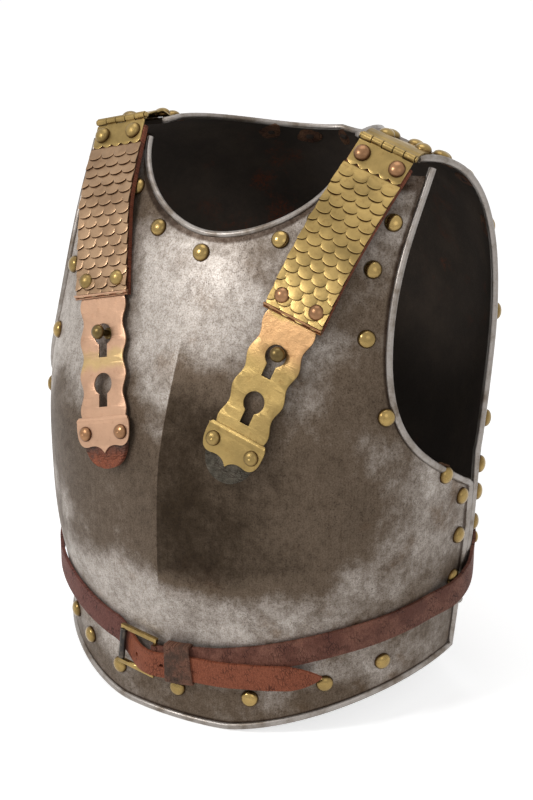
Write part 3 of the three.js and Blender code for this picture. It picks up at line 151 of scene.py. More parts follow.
class StrapSizes(bpy.types.PropertyGroup):
    """Sizes of the two shoulder straps and their hinges"""

    width: length("Width", 0.046, "Of a strap")
    scale_width: length("Scale width", 0.049, "Of the rows of scales")
    clearance: length("Clearance", 0.0005, "From the breastplate to a strap")
    tip_leather: length("Tip leather", 0.0025, "Thickness under the keyhole plate")
    end_plate: length("End plate", 0.0012, "Thickness of the keyhole plate")
    end_plate_width: length("End plate width", 0.044, "Of the keyhole plate")
    end_plate_wave: length("End plate wave", 0.0016, "Depth of the waves along its edges")
    end_plate_tuck: length("End plate tuck", 0.02, "Length under the last scales")
    leaf_length: length("Leaf length", 0.023, "Of the hinge leaf on the strap")
    leaf: length("Leaf", 0.0014, "Thickness of a hinge leaf")
    scale: length("Scale", 0.0008, "Thickness of a scale")
    scale_rise: length("Scale rise", 0.0013, "Of a scale's lower edge over one row")
    scale_overlap: length("Scale overlap", 0.0032, "Of each row over the next")
    scale_depth: FloatProperty(name="Scale depth", description="Of a scallop over its width", default=0.3, min=0)
    scale_rows: IntProperty(name="Scale rows", description="From the leaf to the folded bar", default=15, min=3)
    scale_lobes: IntProperty(name="Scale lobes", description="Across a strap", default=4, min=2)
    bar_reach: length("Bar reach", 0.145, "From the hinge pin to the folded bar")
    bar_height: length("Bar height", 0.0036, "Of the folded bar")
    bar_depth: length("Bar depth", 0.0032, "Of the folded bar")
    bar_rivet_inset: length("Bar rivet inset", 0.013, "From the folded bar up to its rivets")
    leaf_rivet_reach: length("Leaf rivet reach", 0.013, "From the hinge pin to the upper rivets")
    keyhole_reach: length("Keyhole reach", 0.174, "From the hinge pin to the upper keyhole's round")
    keyhole_spacing: length("Keyhole spacing", 0.038, "Between the two keyholes")
    keyhole_radius: length("Keyhole radius", 0.0085, "Of a keyhole's round")
    slot_width: length("Slot width", 0.008, "Of a keyhole's slot")
    slot_length: length("Slot length", 0.0175, "From the round's centre to the slot's end")
    cap_reach: length("Cap reach", 0.237, "From the hinge pin to the end cap's straight edge")
    cap_length: length("Cap length", 0.027, "Of the end cap")
    cap_width: length("Cap width", 0.05, "Of the end cap")
    cap: length("Cap", 0.0012, "Thickness of the end cap")
    cap_rivet_inset: length("Cap rivet inset", 0.012, "From the cap's straight edge to its rivets")
    cap_rivet_spacing: length("Cap rivet spacing", 0.034, "Between the cap's rivets")
    tip_length: length("Tip length", 0.039, "Of the leather tip past the cap's straight edge")
    rivet_radius: length("Rivet radius", 0.0065, "Of the strap's domed rivets")
    rivet_rise: length("Rivet rise", 0.005, "Of the strap's domed rivets")
    scale_rivet_rise: length("Scale rivet rise", 0.0062, "Of the lower pair of rivets")
    rivet_spacing: length("Rivet spacing", 0.03, "Between a pair of rivets")
    cap_rivet_radius: length("Cap rivet radius", 0.0058, "Of the cap's rivets")
    cap_rivet_rise: length("Cap rivet rise", 0.0036, "Of the cap's rivets")
    hinge_ahead: length("Hinge ahead", 0.008, "Of the left hinge pin before the shoulder")
    pin_radius: length("Pin radius", 0.0013, "Of a hinge pin")
    knuckle_radius: length("Knuckle radius", 0.0031, "Of a hinge knuckle")
    knuckle_gap: length("Knuckle gap", 0.0005, "Between two knuckles")
    knuckles: IntProperty(name="Knuckles", description="Of a hinge, on its two leaves in turn", default=5, min=3)
    pin_head_radius: length("Pin head radius", 0.0022, "Of a hinge pin")
    pin_head: length("Pin head", 0.0012, "Thickness of a hinge pin's heads")
    stud_head_radius: length("Stud head radius", 0.0058, "Of the studs on the breastplate")
    stud_neck_radius: length("Stud neck radius", 0.0026, "Of the studs on the breastplate")
    stud_foot_radius: length("Stud foot radius", 0.0045, "Of the studs on the breastplate")
    stud_foot: length("Stud foot", 0.001, "Thickness of a stud's foot")
    stud_lift: length("Stud lift", 0.002, "Play of a stud's head above its keyhole, taken up")


class BeltSizes(bpy.types.PropertyGroup):
    """Sizes of the waist belt and its buckle"""

    width: length("Width", 0.021, "Of the belt's straps")
    thickness: length("Thickness", 0.0025, "Of the belt's leather")
    front_height: length("Front height", 0.057, "Of the belt's middle at the front")
    end_height: length("End height", 0.13, "Of the belt's middle where it is riveted")
    end_reach: length("End reach", 0.024, "Behind the side edges, where it is riveted")
    clearance: length("Clearance", 0.0006, "Between the belt and the plates")
    rim_lift: length("Rim lift", 0.00276, "Of the belt over the side rims")
    rim_reach: length("Rim reach", 0.0168, "Over which the side rims lift the belt")
    rivet_radius: length("Rivet radius", 0.005, "Of the belt's rivets")
    rivet_rise: length("Rivet rise", 0.0032, "Of the belt's rivets")
    rivet_inset: length("Rivet inset", 0.008, "From a strap's end to its rivet")
    roller_across: length("Roller place", -0.042, "Along the belt from the middle of the front")
    bar_across: length("Bar place", -0.0115, "Of the bar that carries the buckle")
    bar_radius: length("Bar radius", 0.0017, "Of the bar that carries the buckle")
    roller_radius: length("Roller radius", 0.0026, "Of the buckle's roller")
    roller_bore: length("Roller bore", 0.0014, "Radius of the roller's bore")
    roller_length: length("Roller length", 0.0282, "Of the buckle's roller")
    loop: length("Loop", 0.0012, "Thickness of the pared leather round the bar")
    keeper_across: length("Keeper place", 0.012, "Of the keeper's middle along the belt")
    keeper_width: length("Keeper width", 0.022, "Of the keeper")
    keeper: length("Keeper", 0.0012, "Thickness of the keeper")
    keeper_play: length("Keeper play", 0.001, "Between the keeper and the straps")
    keeper_rest: length("Keeper rest", 0.0005, "Between the keeper's back and the belt")
    tip_across: length("Tip place", 0.122, "Where the pointed end lies")
    tip_drop: length("Tip drop", 0.022, "Of the pointed end below the belt")
    corner: length("Corner", 0.004, "Radius of the belt's corners at its rivets")
    tip_point: length("Tip point", 0.026, "Length of the point")
    ramp: length("Ramp", 0.016, "Over which the belt rises by a layer")
    hole_radius: length("Hole radius", 0.0016, "Of the two small holes")
    first_hole: length("First hole", -0.0265, "Place of a hole along the belt")
    second_hole: length("Second hole", -0.0025, "Place of the other hole along the belt")


class Finishes(bpy.types.PropertyGroup):
    """Colours of the metals and leathers"""

    steel: colour("Steel", (0.68, 0.625, 0.575), "Bright worn steel")
    patina: colour("Patina", (0.15, 0.11, 0.077), "Brown patina")
    deep_patina: colour("Deep patina", (0.032, 0.019, 0.008), "Darkest brown of the belly")
    inside: colour("Inside", (0.034, 0.027, 0.022), "Blackened inner faces")
    rust: colour("Rust", (0.12, 0.036, 0.018), "Old rust inside the plates")
    brass: colour("Brass", (0.38, 0.262, 0.095), "Yellow brass of the wearer's left strap")
    rivet_brass: colour("Rivet brass", (0.4, 0.275, 0.1), "Edge rivets")
    red_brass: colour("Red brass", (0.56, 0.34, 0.22), "Pinkish brass of the wearer's right strap")
    copper: colour("Copper", (0.36, 0.19, 0.095), "Copper rivet heads")
    red_leather: colour("Red leather", (0.2, 0.056, 0.026), "Belt and strap leather")
    worn_leather: colour("Worn leather", (0.42, 0.13, 0.065), "Worn orange leather")
    dark_leather: colour("Dark leather", (0.035, 0.02, 0.012), "Dark brown leather")


def reading(table, at):
    """A smooth reading of a table of shares."""
    if at <= table[0][0]:
        return table[0][1]
    if at >= table[-1][0]:
        return table[-1][1]
    upper = next(i for i, row in enumerate(table) if row[0] > at)
    start, low = table[upper - 1]
    end, high = table[upper]
    before = table[upper - 2] if upper > 1 else (end, high)
    after = table[upper + 1] if upper + 1 < len(table) else (start, low)
    half = (end - start) / 2
    before_weight = half / (start - before[0])
    after_weight = half / (after[0] - end)
    p = (at - start) / (end - start)
    return (before[1] * before_weight * (2 * p * p - p ** 3 - p)
            + low * ((1 + before_weight) * p ** 3 - (1.5 + 2 * before_weight) * p * p
                     + (before_weight - 0.5) * p + 1)
            + high * ((1.5 + after_weight) * p * p - (1 + after_weight) * p ** 3 + 0.5 * p)
            + after[1] * after_weight * (p ** 3 - p * p))


def lerp(low, high, share):
    return low + (high - low) * share


def clamp(value, low, high):
    return max(low, min(high, value))


def smooth(value, low, high):
    share = clamp((value - low) / (high - low), 0, 1)
    return share * share * (3 - 2 * share)


def sign(value):
    return -1 if value < 0 else 1


def bisected(low, high, holds):
    """How far from low to high the test holds."""
    for _ in range(30):
        middle = (low + high) / 2
        if holds(middle):
            low = middle
        else:
            high = middle
    return low


def bezier(points, t):
    """A place on the Bezier curve of the points, where t runs from 0 to 1."""
    last = len(points) - 1
    weights = [math.comb(last, i) * t ** i * (1 - t) ** (last - i) for i in range(last + 1)]
    return [sum(weight * point[axis] for weight, point in zip(weights, points)) for axis in (0, 1)]


def arc(x, y, radius, start, end, steps):
    """Points along an arc about (x, y), both of its ends included."""
    turns = [lerp(start, end, i / steps) for i in range(steps + 1)]
    return [(x + radius * math.cos(turn), y + radius * math.sin(turn)) for turn in turns]


def mirrored(side):
    """The outline's other half, back from the middle to the start."""
    return [(-x, y) for x, y in reversed(side)]


class Plate:
    """A plate's sheet, read by its share across one half and its share up."""

    armpit_share = 0.4
    neck_edge_share = 0.62
    neck_bend_share = 1.15
    # A half's length around the plate over its half width, at the foot and at the top
    girth_shares = (1.35, 1.1)

    def __init__(self, sizes, shift, corner_rise, armpit_height):
        self.sizes = sizes
        self.shift = shift
        self.corner_rise = corner_rise
        self.armpit_height = armpit_height

    def half_width_at(self, z):
        return self.sizes.half_width * reading(HALF_WIDTH_SHARES, z / self.sizes.height)

    def angle_at(self, x, z):
        share = clamp(abs(x) / self.half_width_at(z), 0, 1)
        return sign(x) * math.asin(share ** (reading(self.powers, z / self.sizes.height) / 2))

    def past_stand(self, x):
        stand = self.sizes.stand_half_width
        return max(abs(x) - stand, 0) / (self.half_width_at(0) - stand)

    def foot_rise(self, x):
        """Of the lower rim, towards the side edges."""
        return self.corner_rise * self.past_stand(x) ** self.foot_power

    def foot_border(self, share):
        return share * RIGHT_ANGLE, self.foot_rise(self.point(share * RIGHT_ANGLE, 0).x)

    def side_border(self, share, side):
        """Angle and rise of the side edge and, past the armpit, of the arm edge."""
        if share <= self.armpit_share:
            return RIGHT_ANGLE, lerp(self.corner_rise, self.armpit_height, share / self.armpit_share)
        return self.arm_border((share - self.armpit_share) / (1 - self.armpit_share), side)

    def inside(self, across, up, side):
        """Angle and rise inside the borders."""
        edge = self.side_border(up, side)
        top = self.top_border(across, side)
        foot = self.foot_border(across)
        top_middle = self.top_border(0, side)
        top_corner = self.top_border(1, side)
        foot_corner = self.foot_border(1)
        place = []
        for axis in (0, 1):
            middle = 0 if axis == 0 else top_middle[1] * up
            sides = lerp(middle, edge[axis], across)
            ends = lerp(foot[axis], top[axis], up)
            corners = lerp(across * foot_corner[axis], lerp(top_middle[axis], top_corner[axis], across), up)
            place.append(sides + ends - corners)
        return place

    def edge_distance(self, across, up):
        """How far a place is from the nearest edge."""
        across, side = abs(across), sign(across)
        column = self.top_border(across, side)[1] - self.foot_border(across)[1]
        return min((1 - across) * self.girth(up), (1 - up) * column, up * column)

    def girth(self, up):
        foot, top = self.girth_shares
        return lerp(self.sizes.half_width * foot, self.sizes.arm_half_width * top, up)

    def bead_ups(self):
        """Share up of the rolled rims at the foot and at the neck."""
        sizes = self.sizes
        return sizes.rim_radius / self.top_border(0, 1)[1], 1 - sizes.neck_rim_radius / sizes.height

    def bead_across(self, up):
        """Share across of the rolled rim at the side."""
        return 1 - self.sizes.rim_radius / self.girth(up)

    def place(self, across, up):
        angle, rise = self.inside(abs(across), up, sign(across))
        return self.point(sign(across) * angle, rise)

    def outward(self, angle, rise):
        step = 1e-3
        angle = clamp(angle, -RIGHT_ANGLE + 1.8 * step, RIGHT_ANGLE - 1.8 * step)
        across = self.point(angle + step, rise) - self.point(angle - step, rise)
        lift = step * self.sizes.height
        up = self.point(angle, rise + lift) - self.point(angle, rise - lift)
        return across.cross(up).normalized() * self.facing

    def seats(self, turns):
        """Place and outward direction at each angle and rise."""
        return [(self.point(*turn), self.outward(*turn)) for turn in turns]


class Breastplate(Plate):
    """The front plate, its arm and neck edges cut by curves seen from the front"""

    name = "breastplate"
    powers = FRONT_POWER_SHARES
    facing = 1
    foot_power = 1.4
    swing_share = 0.22
    neck_spread_share = 0.6

    def __init__(self, sizes, shift):
        super().__init__(sizes, shift, sizes.corner_rise, sizes.armpit_height)

    def point(self, angle, z):
        sizes = self.sizes
        share = z / sizes.height
        power = 2 / reading(self.powers, share)
        x = sign(angle) * self.half_width_at(z) * math.sin(abs(angle)) ** power
        side_set = sizes.chest_depth * reading(SIDE_SET_SHARES, share)
        rise = sizes.ridge_rise * reading(RIDGE_SHARES, share)
        depth = sizes.chest_depth * reading(CHEST_DEPTH_SHARES, share) + side_set - rise
        ridge = rise * max(1 - abs(x) / sizes.ridge_spread, 0) ** 2
        return Vector((x, side_set - depth * max(math.cos(angle), 0) ** power - ridge + self.shift, z))

    def arm_edge(self, share, side):
        sizes = self.sizes
        tip = sizes.height - (sizes.right_tip_drop if side < 0 else 0)
        swing = lerp(sizes.armpit_height, tip, self.swing_share)
        widest = self.half_width_at(sizes.armpit_height)
        return bezier([(widest, sizes.armpit_height), (widest, swing),
                       (sizes.arm_half_width - sizes.arm_waist, swing), (sizes.arm_half_width, tip)], share)

    def arm_share_at(self, z, side):
        return bisected(0, 1, lambda share: self.arm_edge(share, side)[1] < z)

    def arm_border(self, along, side):
        x, z = self.arm_edge(along, side)
        return self.angle_at(x, z), z

    def top_border(self, share, side):
        sizes = self.sizes
        if share >= self.neck_edge_share:
            along = (share - self.neck_edge_share) / (1 - self.neck_edge_share)
            z = sizes.height - (sizes.right_tip_drop * along if side < 0 else 0)
            return self.angle_at(lerp(sizes.neck_half_width, sizes.arm_half_width, along), z), z
        turn = share / self.neck_edge_share * RIGHT_ANGLE
        z = lerp(sizes.height, sizes.neck_height, math.cos(turn) ** self.neck_bend_share)
        return self.angle_at(sizes.neck_half_width * math.sin(turn) ** self.neck_bend_share, z), z

    def patina(self, place):
        """How brown the steel is, painted shade and painted reflection included, and how far the wearer's left side
        of the ridge is darkened by painted shade.
        """
        across, up = place.x / self.sizes.half_width, place.z / self.sizes.height
        shade = BARE_SHADE
        wander = 0.5 * noise.noise(place * 16) + 0.25 * noise.noise(place * 45)
        for middle, height, half_width, half_height, tone in PATINA_AND_PAINTED_LIGHT:
            apart = math.hypot((across - middle) / half_width, (up - height) / half_height) + wander
            shade = lerp(tone, shade, smooth(apart, 0.35, 1.3))
        # Painted shade: the wearer's left side of the ridge is darkened over the belly
        band = smooth(up, 0.26, 0.34) * (1 - smooth(up, 0.58, 0.74))
        return shade, band * (1 - smooth(across, 0.1, 0.7))

    def rivets(self):
        """Place and outward direction of each edge rivet."""
        sizes = self.sizes
        places = []
        for share in NECK_RIVET_SHARES:
            turn = abs(share) * RIGHT_ANGLE
            reach = sizes.neck_half_width + sizes.rivet_inset * self.neck_spread_share
            x = reach * math.sin(turn) ** self.neck_bend_share
            z = lerp(sizes.height, sizes.neck_height, math.cos(turn) ** self.neck_bend_share)
            places.append((sign(share) * x, z - sizes.rivet_inset * math.cos(turn / 2)))
        for side in (1, -1):
            for share, inset in LEFT_ARM_RIVET_SHARES if side > 0 else RIGHT_ARM_RIVET_SHARES:
                z = lerp(sizes.armpit_height, sizes.height, share)
                edge = self.arm_edge(self.arm_share_at(z, side), side)[0]
                places.append((side * (edge - sizes.rivet_inset * inset), z))
            for share in SIDE_RIVET_SHARES:
                z = sizes.armpit_height * share
                turn = RIGHT_ANGLE - sizes.flank_rivet_inset / sizes.chest_depth
                places.append((side * self.point(turn, z).x, z))
        for share in LOWER_RIVET_SHARES:
            x = self.half_width_at(0) * share
            places.append((x, sizes.lower_rivet_inset + self.foot_rise(x)))
        return self.seats([(self.angle_at(x, z), z) for x, z in places])


class Backplate(Plate):
    """The back plate, which curves forward over both shoulders from its spring height"""

    name = "backplate"
    powers = BACK_POWER_SHARES
    facing = -1
    foot_power = 2.2
    side_power = 2.2
    waist_share = 0.6
    nape_power = 3
    nape_bend_share = 0.55
    # Of the curve over the shoulders, left at the middle of the neck edge
    nape_share = 0.46
    # Rivet places beside the breastplate's: along the neck, up the sides and along the foot
    neck_row_share = 0.55
    side_row_share = 0.96
    lower_row_share = 0.9

    def __init__(self, sizes, shift):
        super().__init__(sizes, shift, sizes.back_corner_rise, sizes.back_armpit_height)
        self.over_length = RIGHT_ANGLE * (sizes.back_top_height - sizes.spring_height)
        self.shoulder_edge = sizes.arm_half_width - sizes.arm_waist * self.waist_share

    def point(self, angle, rise):
        sizes = self.sizes
        z = min(rise, sizes.spring_height)
        power = 2 / reading(self.powers, z / sizes.height)
        x = sign(angle) * self.half_width_at(z) * math.sin(abs(angle)) ** power
        depth = sizes.back_depth * reading(BACK_DEPTH_SHARES, z / sizes.height) - sizes.seat_gap
        y = sizes.seat_gap + depth * max(math.cos(angle), 0) ** power
        if rise <= sizes.spring_height:
            return Vector((x, y + self.shift, rise))
        turn = (rise - sizes.spring_height) / self.over_length * RIGHT_ANGLE
        beside = abs(x) / sizes.neck_half_width
        out = clamp((beside - 1) / (sizes.arm_half_width / sizes.neck_half_width - 1), 0, 1)
        sag = sizes.right_sag * smooth(-x / sizes.neck_half_width, 0, 1)
        top = sizes.back_top_height - sizes.shoulder_drop * out - sag
        power = 2 / lerp(self.nape_power, 2, min(beside, 1))
        y = lerp(-sizes.shoulder_overhang, y, max(math.cos(turn), 0) ** power)
        z = sizes.spring_height + (top - sizes.spring_height) * max(math.sin(turn), 0) ** power
        return Vector((x, y + self.shift, z))

    def arm_border(self, along, side):
        sizes = self.sizes
        rise = lerp(sizes.back_armpit_height, sizes.spring_height + self.over_length, along)
        x = lerp(sizes.half_width, self.shoulder_edge, along ** self.side_power)
        return self.angle_at(x, min(rise, sizes.spring_height)), rise

    def top_border(self, share, side):
        sizes = self.sizes
        x = lerp(0, self.shoulder_edge, share)
        turn = min(x / sizes.neck_half_width, 1) * RIGHT_ANGLE
        over = lerp(1, self.nape_share, max(math.cos(turn), 0) ** self.nape_bend_share)
        rise = sizes.spring_height + self.over_length * over
        return self.angle_at(x, sizes.spring_height), rise

    def patina(self, place):
        return BACK_SHADE, 0

    def settled(self, place, lift):
        """Where a place above a shoulder comes to lie, as it goes back from the hinge, and the plate's direction."""
        sizes = self.sizes
        y = place.y - self.shift
        angle = self.angle_at(place.x, sizes.spring_height)
        rise = self.shoulder_rise(place.x, max(y, -sizes.shoulder_overhang))
        outward = self.outward(angle, rise)
        rim = -sizes.shoulder_overhang + 2 * sizes.rim_radius
        share = smooth(y, rim - sizes.rim_radius / 2, rim + 5 * sizes.rim_radius)
        return place.lerp(self.point(angle, rise) + outward * lift, share), outward

    def shoulder_rise(self, x, y):
        sizes = self.sizes
        angle = self.angle_at(x, sizes.spring_height)
        return bisected(sizes.spring_height, sizes.spring_height + self.over_length,
                        lambda rise: self.point(angle, rise).y - self.shift > y)

    def rivets(self):
        """Place and outward direction of each edge rivet."""
        sizes = self.sizes
        turns = []

        def add(across, up):
            angle, rise = self.inside(abs(across), up, sign(across))
            turns.append((sign(across) * angle, rise))

        for share in NECK_RIVET_SHARES:
            add(share * self.neck_row_share, 1 - sizes.rivet_inset / sizes.height)
        for side in (1, -1):
            for share, _ in LEFT_ARM_RIVET_SHARES:
                add(side * (1 - sizes.rivet_inset / sizes.half_width), lerp(self.armpit_share, 1, share))
            for share in SHOULDER_RIVET_SHARES:
                x = side * sizes.arm_half_width * share
                rise = self.shoulder_rise(x, sizes.shoulder_rivet_reach - sizes.shoulder_overhang)
                turns.append((self.angle_at(x, sizes.spring_height), rise))
            for share in SIDE_RIVET_SHARES:
                up = self.armpit_share * share * self.side_row_share
                add(side * (1 - sizes.flank_rivet_inset / sizes.half_width), up)
        for share in LOWER_RIVET_SHARES:
            add(share * self.lower_row_share, sizes.rivet_inset / sizes.height)
        return self.seats(turns)


def even_spline(points, at):
    """A place on an even Catmull-Rom line through the points, where at runs from 0 to 1."""
    place = clamp(at, 0, 1) * (len(points) - 1)
    index = min(int(place), len(points) - 2)
    before = points[max(index - 1, 0)]
    after = points[min(index + 2, len(points) - 1)]
    start, end = points[index], points[index + 1]
    return between(start, end, (end - before) / 2, (after - start) / 2, place - index)


def belt_spline(points, at):
    """A place on a centripetal Catmull-Rom line through the points, where at runs from 0 to 1."""
    place = clamp(at, 0, 1) * (len(points) - 1)
    index = min(int(place), len(points) - 2)
    start, end = points[index], points[index + 1]
    before = points[index - 1] if index else 2 * start - end
    after = points[index + 2] if index + 2 < len(points) else 2 * end - start
    first, middle, last = (math.sqrt(step.length) for step in (start - before, end - start, after - end))
    leave = (start - before) / first - (end - before) / (first + middle) + (end - start) / middle
    arrive = (end - start) / middle - (after - start) / (middle + last) + (after - end) / last
    return between(start, end, leave * middle, arrive * middle, place - index)


def between(start, end, leave, arrive, t):
    return ((2 * start - 2 * end + leave + arrive) * t ** 3
            + (3 * end - 3 * start - 2 * leave - arrive) * t * t + leave * t + start)


def spaced(line, count):
    """Points evenly spaced along a broken line."""
    reached = [0]
    for a, b in zip(line, line[1:]):
        reached.append(reached[-1] + (b - a).length)
    points = []
    for step in range(count + 1):
        reach = reached[-1] * step / count
        index = max(i for i in range(len(line) - 1) if reached[i] <= reach + ROUNDING)
        share = (reach - reached[index]) / (reached[index + 1] - reached[index])
        points.append(line[index].lerp(line[index + 1], share))
    return points


class Line:
    """A smooth line read by its length."""

    def __init__(self, spline, points, samples=400):
        self.samples = [spline(points, i / samples) for i in range(samples + 1)]
        self.reached = [0]
        for a, b in zip(self.samples, self.samples[1:]):
            self.reached.append(self.reached[-1] + (b - a).length)
        self.length = self.reached[-1]

    def at(self, reach):
        """Place and direction so far along; past an end it runs straight on."""
        index = clamp(bisect.bisect_right(self.reached, reach) - 1, 0, len(self.reached) - 2)
        a, b = self.samples[index], self.samples[index + 1]
        share = clamp((reach - self.reached[index]) / (b - a).length, 0, 1)
        before = self.samples[max(index - 1, 0)]
        after = self.samples[min(index + 2, len(self.samples) - 1)]
        step = (b - before).lerp(after - a, share).normalized()
        return a + (b - a).normalized() * (reach - self.reached[index]), step


class Strap:
    """One shoulder strap: a flat shape's x runs across it, y down from the pin and z out from the chest."""

    # The chest is felt at so many levels, each this share of the strap's length below the last
    probes = 35
    probe_share = 0.03
    rounds = 4
    bends = 9

    def __init__(self, sizes, chest, joint):
        self.sizes = sizes
        self.chest = chest
        self.name = joint["child"].rsplit("_", 1)[1]
        self.body = joint["child"]
        self.origin = Vector(joint["pos_m"])
        self.across = Vector(joint["axis"]).normalized()
        self.ahead = Vector((0, -1, 0))
        self.up = self.across.cross(self.ahead).normalized()
        self.side = sign(self.origin.x)
        self.leather = sizes.tip_leather + chest.sizes.seat_gap + sizes.end_plate
        self.scale_low = self.leather + chest.sizes.seat_gap
        self.leaf_high = self.scale_low + sizes.leaf
        self.tip_reach = sizes.cap_reach + sizes.tip_length
        self.line = self.taut_line()

    def chest_reach(self, down, aside):
        sizes = self.chest.sizes
        at = self.origin + self.across * aside - self.up * down
        if at.z > sizes.height:
            return None
        neck_rim = 2 * sizes.neck_rim_radius
        on_neck_rim = at.z > sizes.neck_height and abs(at.x) < sizes.neck_half_width + 2 * neck_rim
        lift = 2 * sizes.rim_radius if on_neck_rim else 0
        return lift + self.origin.y - self.chest.point(self.chest.angle_at(at.x, at.z), at.z).y

    def taut_line(self):
        sizes = self.sizes
        pad = self.leather + self.chest.sizes.seat_gap + sizes.leaf / 2
        touches = []
        for step in range(1, self.probes + 1):
            down = self.probe_share * step * self.tip_reach
            reaches = [self.chest_reach(down, part * sizes.cap_width / 2) for part in (-1, -0.5, 0, 0.5, 1)]
            reaches = [reach for reach in reaches if reach is not None]
            if reaches:
                touches.append(Vector((max(reaches) + sizes.clearance, -down)))
        start = Vector((0, 0))
        for _ in range(self.rounds):
            line = [start]
            for touch in touches:
                while len(line) > 1 and self.turns_back(line[-2], line[-1], touch):
                    line.pop()
                line.append(touch)
            along = (line[1] - start).normalized()
            start = Vector((along.y, -along.x)) * pad
        return Line(even_spline, spaced(line, self.bends))

    @staticmethod
    def turns_back(a, b, c):
        return (b.y - a.y) * (c.x - b.x) - (b.x - a.x) * (c.y - b.y) <= 0

    def bent(self, x, reach, out):
        """Where a flat place comes to lie, and the way that the strap runs there."""
        place, step = self.line.at(reach)
        flat = place + Vector((-step.y, step.x)) * out
        return self.origin + self.across * x + self.ahead * flat.x + self.up * flat.y, step

    def lay(self, shape):
        """Bends a flat shape onto the strap."""
        mapped(shape)
        for vertex in shape.verts:
            vertex.co = self.bent(*vertex.co)[0]
        return shape

    def frame_at(self, x, reach, out):
        """A rivet's matrix on the strap."""
        centre, step = self.bent(x, reach, out)
        return frame_along(centre, self.ahead * -step.y + self.up * step.x)

    def either(self, left, right):
        """One value for the wearer's left strap and another for the right."""
        return left if self.side > 0 else right

    def finish(self, part, shape, materials, slot, node=None, sharp=40):
        """Makes a shape one of the strap's pieces, in place of its node of the kind named."""
        replaced = (f"{node}_{self.name}",) if node else ()
        finished(f"{self.name}_{part}", shape, materials, self.body, replaced, sharp)


class Belt:
    """The belt: a flat shape's x runs down, y along it to the wearer's left and z out from the plates."""

    samples = 40
    bends = 28

    def __init__(self, sizes, chest, back):
        self.sizes = sizes
        self.chest = chest
        self.back = back
        gap = chest.sizes.seat_gap
        self.line = self.taut_line()
        self.end = self.line.length / 2
        self.loop_radius = sizes.bar_radius + gap + sizes.loop
        self.keeper_lift = sizes.keeper + sizes.keeper_rest
        self.over_loop = 2 * self.loop_radius + gap
        self.over_belt = self.keeper_lift + sizes.thickness + gap
        self.past_keeper = sizes.keeper_across + sizes.keeper_width + sizes.ramp / 2
        self.past_ramp = sizes.keeper_across + sizes.keeper_width + 2 * sizes.ramp

    def lift(self, turn, z):
        plate = self.chest.sizes
        past_side = (abs(turn) - RIGHT_ANGLE) * plate.chest_depth
        lift = self.sizes.rim_lift if abs(past_side) < self.sizes.rim_reach else 0
        for share in SIDE_RIVET_SHARES:
            apart = math.hypot(past_side + plate.flank_rivet_inset, z - plate.armpit_height * share)
            if apart < plate.rivet_radius * 1.3:
                lift = max(lift, plate.rivet_rise * 1.1)
        return lift + self.sizes.clearance

    def taut_line(self):
        sizes, plate = self.sizes, self.chest.sizes
        shift = Vector((0, self.chest.shift, 0))
        z = sizes.end_height
        depth = (self.back.point(0, z) - shift).y - plate.seat_gap
        power = 2 / reading(BACK_POWER_SHARES, z / plate.height)
        end = math.pi - math.acos(((sizes.end_reach - plate.seat_gap) / depth) ** (1 / power))
        points = []
        for i in range(-self.samples, self.samples + 1):
            turn = i / self.samples * end
            rise = reading(BELT_RISE_SHARES, abs(i / self.samples))
            height = lerp(sizes.front_height, sizes.end_height, rise)
            for part in (-0.6, 0, 0.6):
                level = height + part * sizes.width
                if abs(turn) <= RIGHT_ANGLE:
                    place = self.chest.point(turn, level) - shift
                else:
                    place = self.back.point(sign(turn) * (math.pi - abs(turn)), level) - shift
                place += Vector((place.x, place.y, 0)).normalized() * self.lift(turn, level)
                points.append(Vector((place.x, place.y, height)))
        points.sort(key=lambda point: (point.x, point.y))
        around = self.half_hull(points)[:-1] + self.half_hull(points[::-1])[:-1]
        gaps = [(a - b).length for a, b in zip(around, around[1:] + around[:1])]
        widest = gaps.index(max(gaps))
        line = around[widest + 1:] + around[:widest + 1]
        return Line(belt_spline, [point + shift for point in spaced(line, self.bends)])

    @staticmethod
    def half_hull(points):
        chain = []
        for point in points:
            while len(chain) > 1:
                a, b = chain[-2:]
                if (b.x - a.x) * (point.y - a.y) - (b.y - a.y) * (point.x - a.x) > 0:
                    break
                chain.pop()
            chain.append(point)
        return chain

    def at(self, along):
        """Place, outward and downward direction at a distance along the belt from the middle of the front."""
        place, step = self.line.at(self.end + along)
        outward = step.cross(Vector((0, 0, 1))).normalized()
        return place, outward, step.cross(outward)

    def tip_hang(self, along):
        return self.sizes.tip_drop * reading(TIP_HANG_SHARES, along / self.sizes.tip_across)

    def buckle_hang(self, along):
        return self.sizes.tip_drop * reading(BUCKLE_HANG_SHARES, along / self.sizes.tip_across)

    def buckle_low(self, along):
        return lerp(self.keeper_lift, 0, smooth(along, self.past_keeper, self.past_ramp))

    def tip_low(self, along):
        sizes = self.sizes
        gap = self.chest.sizes.seat_gap
        rows = [(sizes.roller_across + sizes.roller_radius / 2, 0),
                (sizes.bar_across - self.loop_radius, self.over_loop - gap), (sizes.bar_across, self.over_loop),
                (sizes.keeper_across - sizes.keeper_width / 2 - sizes.keeper_play, self.over_belt),
                (self.past_keeper, self.over_belt), (self.past_ramp, sizes.thickness + 2 * gap)]
        low = rows[0][1]
        for (start, before), (stop, after) in zip(rows, rows[1:]):
            if along > start:
                low = lerp(before, after, smooth(along, start, stop))
        return low

    def wrap(self, shape, hang=None, low=None):
        """Bends a flat shape onto the belt."""
        mapped(shape)
        for vertex in shape.verts:
            x, along, out = vertex.co
            place, outward, down = self.at(along)
            x += hang(along) if hang else 0
            out += low(along) if low else 0
            vertex.co = place + down * x + outward * out
        return shape


def frame_along(origin, outward):
    side = Vector((0, 0, 1)).cross(outward)
    side = side.normalized() if side.length > 0.1 else Vector((1, 0, 0))
    matrix = Matrix((side, outward.cross(side), outward)).transposed().to_4x4()
    matrix.translation = origin
    return matrix


def float_layers(shape, *names):
    """The float layers of those names on the shape's corners, made where they are missing."""
    layers = shape.verts.layers.float
    for name in names:
        if name not in layers:
            layers.new(name)
    return [layers[name] for name in names]


